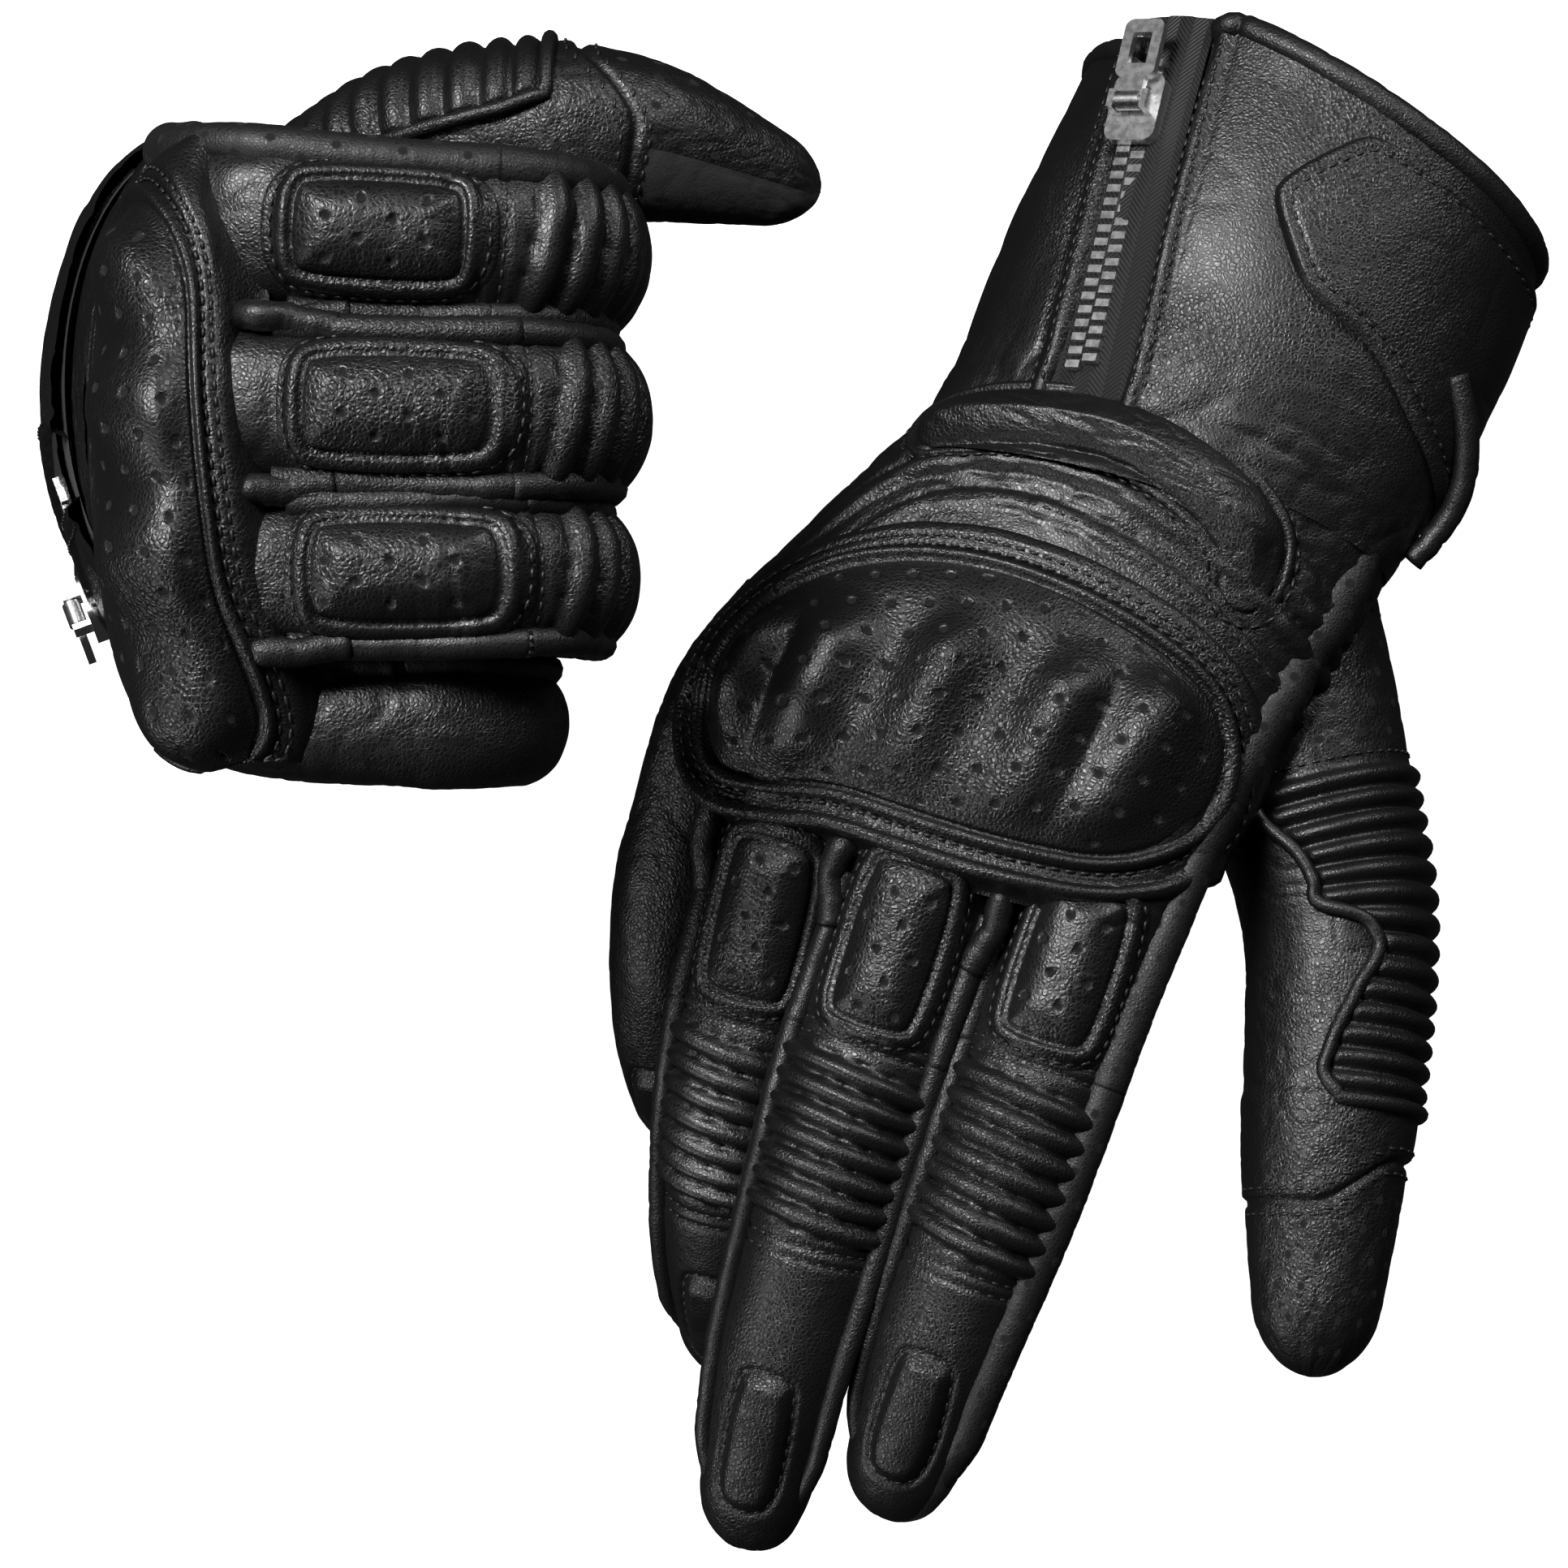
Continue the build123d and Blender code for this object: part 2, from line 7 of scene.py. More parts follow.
import json
import logging
import math
from dataclasses import dataclass, replace
from enum import Enum
from typing import Callable, Optional, Sequence

import bpy
import numpy as np
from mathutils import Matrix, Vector


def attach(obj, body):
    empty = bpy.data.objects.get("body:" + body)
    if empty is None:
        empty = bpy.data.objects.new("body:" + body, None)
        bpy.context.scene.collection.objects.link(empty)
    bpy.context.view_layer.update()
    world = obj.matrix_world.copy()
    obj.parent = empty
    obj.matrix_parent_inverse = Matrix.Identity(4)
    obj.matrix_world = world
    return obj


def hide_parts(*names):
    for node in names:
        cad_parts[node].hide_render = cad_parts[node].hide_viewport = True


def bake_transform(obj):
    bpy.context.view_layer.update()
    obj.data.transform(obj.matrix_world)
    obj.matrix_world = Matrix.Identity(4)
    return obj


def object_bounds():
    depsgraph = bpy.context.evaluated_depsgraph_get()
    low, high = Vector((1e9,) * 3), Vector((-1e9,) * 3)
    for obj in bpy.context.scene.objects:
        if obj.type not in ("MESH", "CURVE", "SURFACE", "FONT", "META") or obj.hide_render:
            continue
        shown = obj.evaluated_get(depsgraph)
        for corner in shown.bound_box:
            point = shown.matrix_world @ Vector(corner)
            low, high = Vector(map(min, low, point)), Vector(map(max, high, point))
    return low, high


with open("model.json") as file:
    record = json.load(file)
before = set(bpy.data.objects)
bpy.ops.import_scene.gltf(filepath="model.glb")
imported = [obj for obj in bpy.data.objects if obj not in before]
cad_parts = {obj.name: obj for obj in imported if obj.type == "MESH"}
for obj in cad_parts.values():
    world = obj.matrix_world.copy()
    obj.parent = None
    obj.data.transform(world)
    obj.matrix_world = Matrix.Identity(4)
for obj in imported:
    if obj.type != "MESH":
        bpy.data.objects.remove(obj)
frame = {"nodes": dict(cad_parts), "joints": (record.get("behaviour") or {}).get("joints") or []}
FRAME_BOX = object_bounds()
LOG = logging.getLogger("gloves")
MM = 0.001
FINE = 1.0
Array = np.ndarray
Plan = Sequence[tuple[float, float]]


# ---------------------------------------------------------------- shapes of curves
def smooth(t: Array) -> Array:
    """Eases 0..1 at both ends."""
    t = np.clip(t, 0.0, 1.0)
    return t * t * (3 - 2 * t)


def ramp(x: Array, start: float, end: float) -> Array:
    """Rises from 0 at start to 1 at end."""
    return smooth((x - start) / (end - start))


def band(x: Array, start: float, end: float, soft: float) -> Array:
    """1 between start and end, fading over soft outside them."""
    return ramp(x, start - soft, start) * (1 - ramp(x, end, end + soft))


def hump(x: Array, half: float) -> Array:
    """A rounded hump, 1 at 0 and 0 from half on."""
    return np.where(np.abs(x) < half, 0.5 + 0.5 * np.cos(np.pi * np.clip(x / half, -1, 1)), 0.0)


def roll_profile(x: Array, half: float) -> Array:
    """The outline of a stuffed roll: a half ellipse, 1 at 0 and 0 from half on."""
    return np.sqrt(np.clip(1 - (x / half) ** 2, 0, 1))


def curve(knots: Sequence[float], values: Sequence[float], s: Array) -> Array:
    """A smooth line through values at knots."""
    k, v = np.asarray(knots, float), np.asarray(values, float)
    slope = np.gradient(v, k) if len(k) > 2 else np.full(len(k), (v[-1] - v[0]) / (k[-1] - k[0]))
    s = np.clip(s, k[0], k[-1])
    i = np.clip(np.searchsorted(k, s, side="right") - 1, 0, len(k) - 2)
    h = k[i + 1] - k[i]
    t = (s - k[i]) / h
    a, b = 2 * t**3 - 3 * t**2 + 1, -2 * t**3 + 3 * t**2
    c, d = t**3 - 2 * t**2 + t, t**3 - t**2
    return a * v[i] + b * v[i + 1] + h * (c * slope[i] + d * slope[i + 1])


def unit(v: Array) -> Array:
    """Vectors made one long."""
    return v / np.maximum(np.linalg.norm(v, axis=-1, keepdims=True), 1e-9)


def turned(v: Array, axis: Array, angle: float) -> Array:
    """v turned about a unit axis."""
    c, s = math.cos(angle), math.sin(angle)
    return v * c + np.cross(axis, v) * s + axis * np.dot(axis, v) * (1 - c)


class Crumple:
    """Smooth random relief, the same every time."""

    SIZE = 128

    def __init__(self, seed: int) -> None:
        self.grid = np.random.default_rng(seed).random((self.SIZE, self.SIZE))

    def value(self, u: Array, v: Array) -> Array:
        """Random heights 0..1 about one unit apart."""
        n = self.SIZE
        u, v = np.asarray(u, float), np.asarray(v, float)
        i, j = np.floor(u).astype(int), np.floor(v).astype(int)
        a, b = smooth(u - i), smooth(v - j)
        g = self.grid
        low = g[i % n, j % n] * (1 - a) + g[(i + 1) % n, j % n] * a
        high = g[i % n, (j + 1) % n] * (1 - a) + g[(i + 1) % n, (j + 1) % n] * a
        return low * (1 - b) + high * b

    def swell(self, u: Array, v: Array) -> Array:
        """Soft unevenness, about -0.5..0.5."""
        return 0.7 * self.value(u, v) + 0.3 * self.value(2.1 * u + 9, 2.1 * v + 5) - 0.5

    def crease(self, u: Array, v: Array) -> Array:
        """Sharp narrow folds, 0 with dips to -1."""
        bent = self.value(u * 0.35 + 31, v * 0.35 + 17) * 2.5
        n = self.value(u + bent, v + bent)
        m = self.value(1.9 * u + 40, 1.9 * v + 11 + bent)
        return -((1 - np.abs(2 * n - 1)) ** 3) - 0.5 * (1 - np.abs(2 * m - 1)) ** 4


class Track:
    """A line drawn on the flat plan of a surface, in millimetres."""

    STEP = 0.6

    def __init__(self, points: Plan, closed: bool = False, rounds: int = 3) -> None:
        p = np.asarray(points, float)
        for _ in range(rounds):
            nxt = np.roll(p, -1, 0)
            if closed:
                p = np.stack([0.75 * p + 0.25 * nxt, 0.25 * p + 0.75 * nxt], 1).reshape(-1, 2)
            else:
                q = np.stack([0.75 * p + 0.25 * nxt, 0.25 * p + 0.75 * nxt], 1)[:-1].reshape(-1, 2)
                p = np.vstack([p[:1], q, p[-1:]])
        if closed:
            p = np.vstack([p, p[:1]])
        gap = np.r_[0, np.cumsum(np.linalg.norm(np.diff(p, axis=0), axis=1))]
        self.length, self.closed = float(gap[-1]), closed
        self.rest = (gap, p)
        count = max(4, int(self.length / self.STEP))
        self.points = self.at(np.linspace(0, self.length, count + 1))
        self.tangents = unit(np.gradient(self.points, axis=0))

    def at(self, along: Array) -> Array:
        """Points at distances along the line."""
        gap, p = self.rest
        return np.stack([np.interp(along, gap, p[:, k]) for k in (0, 1)], -1)

    def moved(self, aside: float) -> "Track":
        """The line moved to its left by a distance."""
        left = np.stack([-self.tangents[:, 1], self.tangents[:, 0]], 1)
        pts = self.points + left * aside
        return Track([tuple(q) for q in (pts[:-1] if self.closed else pts)], self.closed, 0)

    def distance(self, x: Array, y: Array, reach: float = 14.0) -> tuple[Array, Array]:
        """Signed distance (positive on the left) and distance along, for every point."""
        flat = np.stack([np.ravel(x), np.ravel(y)], 1)
        out, along = np.full(len(flat), reach * 9.0), np.zeros(len(flat))
        lo, hi = self.points.min(0) - reach, self.points.max(0) + reach
        near = np.flatnonzero(((flat > lo) & (flat < hi)).all(1))
        for part in np.array_split(near, max(1, len(near) // 8000)):
            gap = flat[part, None, :] - self.points[None]
            k = (gap**2).sum(2).argmin(1)
            g, t = gap[np.arange(len(part)), k], self.tangents[k]
            side = np.where(t[:, 0] * g[:, 1] - t[:, 1] * g[:, 0] >= 0, 1.0, -1.0)
            out[part] = np.linalg.norm(g, axis=1) * side
            along[part] = k * self.length / (len(self.points) - 1)
        return out.reshape(np.shape(x)), along.reshape(np.shape(x))


def trimmed(points: Plan, radius: float) -> Plan:
    """A closed outline with each corner cut back by a radius, ready to be rounded."""
    p = [np.asarray(q, float) for q in points]
    out = []
    for a, b, c in zip(p[-1:] + p[:-1], p, p[1:] + p[:1]):
        for other in (a, c):
            gap = float(np.linalg.norm(other - b))
            out.append(tuple(b + (other - b) / gap * min(radius, 0.45 * gap)))
    return out


# ---------------------------------------------------------------- hand frames, spines and skins
@dataclass(frozen=True)
class Pose:
    """Where a hand is: its origin in metres, and its three axes as rows."""

    origin: Array
    axes: Array

    def out(self, p: Array) -> Array:
        """Hand millimetres to frame metres."""
        return self.origin + (p @ self.axes) * MM


class Spine:
    """A centre line through joints with rounded bends, with the outward direction carried along it."""

    STEP = 0.5

    def __init__(self, points: Sequence[Sequence[float]], up: Sequence[float], windows: Sequence[float], start: float) -> None:
        p = [np.asarray(q, float) for q in points]
        legs = [b - a for a, b in zip(p, p[1:])]
        sizes = [float(np.linalg.norm(g)) for g in legs]
        dirs = [g / n for g, n in zip(legs, sizes)]
        z = np.asarray(up, float)
        rows: list[tuple] = []
        s, begin = start, 0.0
        for i, (d, size) in enumerate(zip(dirs, sizes)):
            z = unit(z - d * (z @ d))
            last = i == len(dirs) - 1
            w = 0.0 if last else windows[i]
            for t in np.arange(begin, size - w + (1e-6 if last else 0), self.STEP):
                rows.append((s + t, p[i] + d * t, d, z))
            if not last:
                n = np.cross(d, dirs[i + 1])
                angle = math.atan2(float(np.linalg.norm(n)), float(d @ dirs[i + 1]))
                n = unit(n) if angle > 1e-4 else np.array([1.0, 0, 0])
                a, inward = p[i + 1] - d * w, turned(d, n, math.pi / 2)
                r = w / math.tan(max(angle, 1e-3) / 2)
                for t in np.linspace(0, 1, max(4, int(2 * w / self.STEP))):
                    here = a + inward * r - turned(inward, n, t * angle) * r
                    rows.append((s + size - w + 2 * w * t, here, turned(d, n, t * angle), turned(z, n, t * angle)))
                z = turned(z, n, angle)
            s, begin = s + size, w + self.STEP
        rows.append((s, p[-1], dirs[-1], z))
        self.s = np.array([r[0] for r in rows])
        y, z = unit(np.array([r[2] for r in rows])), unit(np.array([r[3] for r in rows]))
        self.data = np.hstack([np.array([r[1] for r in rows]), np.cross(y, z), y, z])
        self.first, self.last = float(self.s[0]), float(self.s[-1])

    def at(self, s: Array) -> tuple[Array, Array, Array, Array]:
        """Centre and axes at distances along."""
        flat = np.clip(np.ravel(s), self.first, self.last)
        got = np.stack([np.interp(flat, self.s, self.data[:, k]) for k in range(12)], -1)
        got = got.reshape(np.shape(s) + (12,))
        return got[..., :3], got[..., 3:6], got[..., 6:9], got[..., 9:]


@dataclass(frozen=True)
class Section:
    """Half sizes of a cross section at knots along a spine: to the right (+x), left, top and bottom."""

    knots: Sequence[float]
    right: Sequence[float]
    left: Sequence[float]
    top: Sequence[float]
    bottom: Sequence[float]
    power: Sequence[float]
    cap: float = 0.0
    end: float = 0.0

    def offsets(self, s: Array, theta: Array) -> tuple[Array, Array]:
        """Offsets across and outward at angles, 0 at +x and a quarter turn at the top."""
        c, n = np.cos(theta), np.sin(theta)
        power = curve(self.knots, self.power, s)
        k = (np.abs(c) ** power + np.abs(n) ** power) ** (-1 / power)
        if self.cap:
            t = np.clip((s - (self.end - self.cap)) / self.cap, 0, 1)
            k = k * np.sqrt(np.clip(1 - t**2, 0, 1))
        mix_x = smooth(0.5 + 2.0 * c)
        mix_z = smooth(0.5 + 2.0 * n)
        a = curve(self.knots, self.right, s) * mix_x + curve(self.knots, self.left, s) * (1 - mix_x)
        b = curve(self.knots, self.top, s) * mix_z + curve(self.knots, self.bottom, s) * (1 - mix_z)
        return a * c * k, b * n * k


Relief = Callable[[Array, Array, Array], Array]


class Skin:
    """A closed skin round a spine, with relief. Angles are from the top, in degrees, positive towards +x."""

    def __init__(self, spine: Spine, section: Section, relief: Optional[Relief] = None) -> None:
        self.spine, self.section, self.relief = spine, section, relief
        self.holes: Optional[Relief] = None

    def bare(self, s: Array, phi: Array) -> Array:
        """The skin without relief, at distances along and angles from the top."""
        c, x, _, z = self.spine.at(s)
        across, up = self.section.offsets(s, np.radians(90 - phi))
        return c + x * across[..., None] + z * up[..., None]

    def normal(self, s: Array, phi: Array) -> Array:
        """Outward direction of the bare skin."""
        ds, dp = 0.35, 1.5
        back = np.minimum(s, self.spine.last - 2 * ds)
        a = self.bare(back + ds, phi) - self.bare(back - ds, phi)
        b = self.bare(s, phi + dp) - self.bare(s, phi - dp)
        n = unit(np.cross(b, a))
        c, _, y, _ = self.spine.at(s)
        out = self.bare(s, phi) - c
        flip = np.sign((n * out).sum(-1, keepdims=True))
        tip = np.linalg.norm(b, axis=-1, keepdims=True) < 1e-3
        return np.where(tip, y, n * np.where(flip == 0, 1, flip))

    def across(self, s: Array, phi: Array) -> Array:
        """Sideways distance from the spine."""
        return self.section.offsets(s, np.radians(90 - phi))[0]

    def angle_for(self, s: Array, x: Array) -> Array:
        """Angle from the top at which the skin is x to the side of its spine, on the top half."""
        s, x = np.broadcast_arrays(np.asarray(s, float), np.asarray(x, float))
        lo, hi = np.full(s.shape, -88.0), np.full(s.shape, 88.0)
        for _ in range(18):
            mid = (lo + hi) / 2
            short = self.across(s, mid) < x
            lo, hi = np.where(short, mid, lo), np.where(short, hi, mid)
        return (lo + hi) / 2

    def top_angle(self, s: Array, x: Array) -> Array:
        """Angle from the top for a sideways place measured from the hand's middle line."""
        return self.angle_for(s, x - self.spine.at(np.asarray(s, float))[0][..., 0])

    def on_top(self, x: Array, s: Array, lift: Array = 0.0) -> Array:
        """Points on the finished skin, x to the side of its spine."""
        return self.at(s, self.angle_for(s, x), lift)

    def at(self, s: Array, phi: Array, lift: float = 0.0) -> Array:
        """Points on the finished skin, lifted off it."""
        s, phi = np.broadcast_arrays(np.asarray(s, float), np.asarray(phi, float))
        p = self.bare(s, phi)
        h = lift + (self.relief(s, phi, self.across(s, phi)) if self.relief else 0.0)
        return p + self.normal(s, phi) * np.broadcast_to(h, s.shape)[..., None]

    def rings(self, start: float, end: float, step: float) -> Array:
        """Distances along for the rings of a mesh, closer together in the rounded end."""
        cap = self.section.cap
        if cap and end > self.section.end - cap:
            stop = self.section.end - cap
            straight = np.linspace(start, stop, max(2, int((stop - start) / step)))
            return np.r_[straight, stop + cap * np.sin(np.linspace(0, math.pi / 2, max(6, int(1.4 * cap / step))))[1:]]
        return np.linspace(start, end, max(2, int((end - start) / step)))


# ---------------------------------------------------------------- finishes
class Sum:
    """Shader arithmetic written as ordinary sums."""

    def __init__(self, tree: bpy.types.NodeTree, out: object) -> None:
        self.tree, self.out = tree, out

    def _math(self, kind: str, other: object, swap: bool = False) -> "Sum":
        node = self.tree.nodes.new("ShaderNodeMath")
        node.operation = kind
        for i, v in enumerate((other, self) if swap else (self, other)):
            if isinstance(v, Sum):
                self.tree.links.new(v.out, node.inputs[i])
            else:
                node.inputs[i].default_value = float(v)
        return Sum(self.tree, node.outputs[0])

    def __add__(self, o: object) -> "Sum":
        return self._math("ADD", o)

    def __radd__(self, o: object) -> "Sum":
        return self._math("ADD", o, True)

    def __sub__(self, o: object) -> "Sum":
        return self._math("SUBTRACT", o)

    def __rsub__(self, o: object) -> "Sum":
        return self._math("SUBTRACT", o, True)

    def __mul__(self, o: object) -> "Sum":
        return self._math("MULTIPLY", o)

    def __rmul__(self, o: object) -> "Sum":
        return self._math("MULTIPLY", o, True)

    def __truediv__(self, o: object) -> "Sum":
        return self._math("DIVIDE", o)

    def __pow__(self, o: object) -> "Sum":
        return self._math("POWER", o)

    def between(self, low: float, high: float) -> "Sum":
        """Held to 0..1 between two values."""
        return ((self - low) / (high - low))._math("MAXIMUM", 0.0)._math("MINIMUM", 1.0)


class Paint:
    """One material being put together."""

    def __init__(self, name: str) -> None:
        self.material = bpy.data.materials.new("finish_" + name)
        self.material.use_nodes = True
        self.tree = self.material.node_tree
        self.shader = self.tree.nodes["Principled BSDF"]

    def node(self, kind: str, output: object, settings: Optional[dict] = None, **inputs: object) -> Sum:
        """Adds a node, sets its properties and inputs, and gives one output."""
        made = self.tree.nodes.new(kind)
        for key, value in (settings or {}).items():
            setattr(made, key, value)
        for key, value in inputs.items():
            socket = made.inputs[key.replace("_", " ")]
            if isinstance(value, Sum):
                self.tree.links.new(value.out, socket)
            else:
                socket.default_value = value
        return Sum(self.tree, made.outputs[output])

    def place(self) -> Sum:
        """Object coordinates."""
        return self.node("ShaderNodeTexCoord", "Object")

    def attribute(self, name: str) -> Sum:
        """A number stored on the mesh."""
        return self.node("ShaderNodeAttribute", "Fac", {"attribute_name": name})

    def set(self, socket: str, value: object) -> None:
        """Sets one socket of the shader."""
        if isinstance(value, Sum):
            self.tree.links.new(value.out, self.shader.inputs[socket])
        else:
            self.shader.inputs[socket].default_value = value

    def relief(self, height: Sum, depth: float) -> None:
        """Bumps the surface by a height field, depth in metres."""
        bump = self.tree.nodes.new("ShaderNodeBump")
        bump.inputs["Distance"].default_value = depth
        self.tree.links.new(height.out, bump.inputs["Height"])
        self.tree.links.new(bump.outputs[0], self.shader.inputs["Normal"])

    def shade(self, dark: tuple, light: tuple, factor: Sum) -> None:
        """Colour between two tones."""
        mix = self.tree.nodes.new("ShaderNodeMix")
        mix.data_type = "RGBA"
        mix.inputs[6].default_value, mix.inputs[7].default_value = (*dark, 1), (*light, 1)
        self.tree.links.new(factor.out, mix.inputs[0])
        self.tree.links.new(mix.outputs[2], self.shader.inputs["Base Color"])


@dataclass(frozen=True)
class Leather:
    """Grained leather, with pricked holes where the mesh says so; the holes get painted shade, a much darker colour
    that stands in for their depth.
    """

    name: str = "black_leather"
    tone: float = 0.006
    roughness: float = 0.33
    grain: float = 1250.0
    depth: float = 0.00013
    sheen: float = 0.0

    def build(self) -> bpy.types.Material:
        """Makes the material."""
        paint = Paint(self.name)
        at = paint.place()
        warp = paint.node("ShaderNodeTexNoise", "Color", Vector=at, Scale=self.grain * 0.35, Detail=2.0)
        mixed = paint.tree.nodes.new("ShaderNodeVectorMath")
        mixed.operation = "MULTIPLY_ADD"
        paint.tree.links.new(warp.out, mixed.inputs[0])
        mixed.inputs[1].default_value = (0.0011, 0.0011, 0.0011)
        paint.tree.links.new(at.out, mixed.inputs[2])
        bent = Sum(paint.tree, mixed.outputs[0])
        cells = paint.node("ShaderNodeTexVoronoi", "Distance", {"feature": "DISTANCE_TO_EDGE"}, Vector=bent, Scale=self.grain)
        fine = paint.node("ShaderNodeTexNoise", 0, Vector=at, Scale=self.grain * 2.6, Detail=3.0)
        cloud = paint.node("ShaderNodeTexNoise", 0, Vector=at, Scale=34.0, Detail=3.0)
        strong = cloud.between(0.38, 0.66) * 0.7 + 0.3
        pebble = cells.between(0.0, 0.3)
        hole = paint.attribute("hole")
        # Painted shade: inside the pricked holes the colour goes to the darkest tone to stand in for the holes' depth,
        # and the roughness rises there.
        outside_hole_shade = 1.0 - hole.between(0.25, 0.6)
        paint.relief((pebble * 0.75 * strong + fine * 0.25), self.depth)
        tone = self.tone
        # The colour follows the grain and a cloud of random tone, with painted shade in the holes.
        paint.shade((tone * 0.25,) * 3, (tone, tone, tone * 1.04), (pebble * 0.5 + cloud * 0.5) * outside_hole_shade)
        paint.set("Roughness", 1.0 - (1.0 - (self.roughness + 0.10 * (cloud - 0.5) + 0.16 * (1.0 - pebble))) * (outside_hole_shade * 0.9 + 0.1))
        paint.set("Specular IOR Level", 0.5)
        if self.sheen:
            paint.set("Sheen Weight", self.sheen)
            paint.set("Sheen Roughness", 0.5)
        return paint.material


@dataclass(frozen=True)
class Suede:
    """Matte brushed leather."""

    name: str = "suede_palm"
    tone: float = 0.009

    def build(self) -> bpy.types.Material:
        """Makes the material."""
        paint = Paint(self.name)
        at = paint.place()
        nap = paint.node("ShaderNodeTexNoise", 0, Vector=at, Scale=2600.0, Detail=4.0)
        cloud = paint.node("ShaderNodeTexNoise", 0, Vector=at, Scale=120.0, Detail=2.0)
        paint.relief(nap, 0.00012)
        paint.shade((self.tone * 0.5,) * 3, (self.tone * 1.5,) * 3, nap * 0.6 + cloud * 0.4)
        paint.set("Roughness", 0.86)
        paint.set("Sheen Weight", 0.05)
        return paint.material


@dataclass(frozen=True)
class Metal:
    """Bright plated metal."""

    name: str = "zip_metal"
    tone: float = 0.83
    roughness: float = 0.2

    def build(self) -> bpy.types.Material:
        """Makes the material."""
        paint = Paint(self.name)
        wear = paint.node("ShaderNodeTexNoise", 0, Vector=paint.place(), Scale=900.0, Detail=2.0)
        paint.set("Metallic", 1.0)
        paint.set("Base Color", (self.tone, self.tone, self.tone, 1))
        paint.set("Roughness", self.roughness + 0.16 * wear)
        return paint.material


@dataclass(frozen=True)
class Tape:
    """Woven herringbone tape. The mesh's own map runs across and along it in millimetres."""

    name: str = "zip_tape"
    tone: float = 0.01

    def build(self) -> bpy.types.Material:
        """Makes the material."""
        paint = Paint(self.name)
        flat = paint.node("ShaderNodeUVMap", 0, {"uv_map": "plan"})
        split = paint.tree.nodes.new("ShaderNodeSeparateXYZ")
        paint.tree.links.new(flat.out, split.inputs[0])
        u, v = Sum(paint.tree, split.outputs[0]), Sum(paint.tree, split.outputs[1])
        zig = (u * (1 / 2.6))._math("PINGPONG", 1.0) * 2.6
        rib = ((v + zig) * (1 / 0.42))._math("PINGPONG", 1.0)
        paint.relief(rib, 0.00022)
        paint.shade((self.tone * 0.3,) * 3, (self.tone * 2.2,) * 3, rib)
        paint.set("Roughness", 0.62)
        return paint.material


@dataclass(frozen=True)
class Thread:
    """Waxed black sewing thread."""

    name: str = "thread"
    tone: float = 0.012

    def build(self) -> bpy.types.Material:
        """Makes the material."""
        paint = Paint(self.name)
        paint.set("Base Color", (self.tone, self.tone, self.tone, 1))
        paint.set("Roughness", 0.42)
        return paint.material


class Finish(Enum):
    """The finishes of the gloves, each with the record's slot it stands for."""

    LEATHER = ("black_leather", Leather())
    SOFT = ("black_leather", Leather("soft_leather", 0.006, 0.32, 1400.0, 0.00011))
    PERFORATED = ("perforated_leather", Leather("perforated_leather", 0.0055, 0.31, 1250.0, 0.00013))
    STRIP = ("perforated_leather", Leather("perforated_strip", 0.006, 0.46, 1500.0, 0.0001))
    PIPING = ("leather_piping", Leather("leather_piping", 0.007, 0.36, 1500.0, 0.0001))
    SUEDE = ("suede_palm", Suede())
    METAL = ("zip_metal", Metal())
    TAPE = ("zip_tape", Tape())
    THREAD = ("leather_piping", Thread())

    @property
    def slot(self) -> str:
        """The record's slot."""
        return self.value[0]

    def material(self) -> bpy.types.Material:
        """The material, made once."""
        found = bpy.data.materials.get("finish_" + self.value[1].name)
        return found or self.value[1].build()


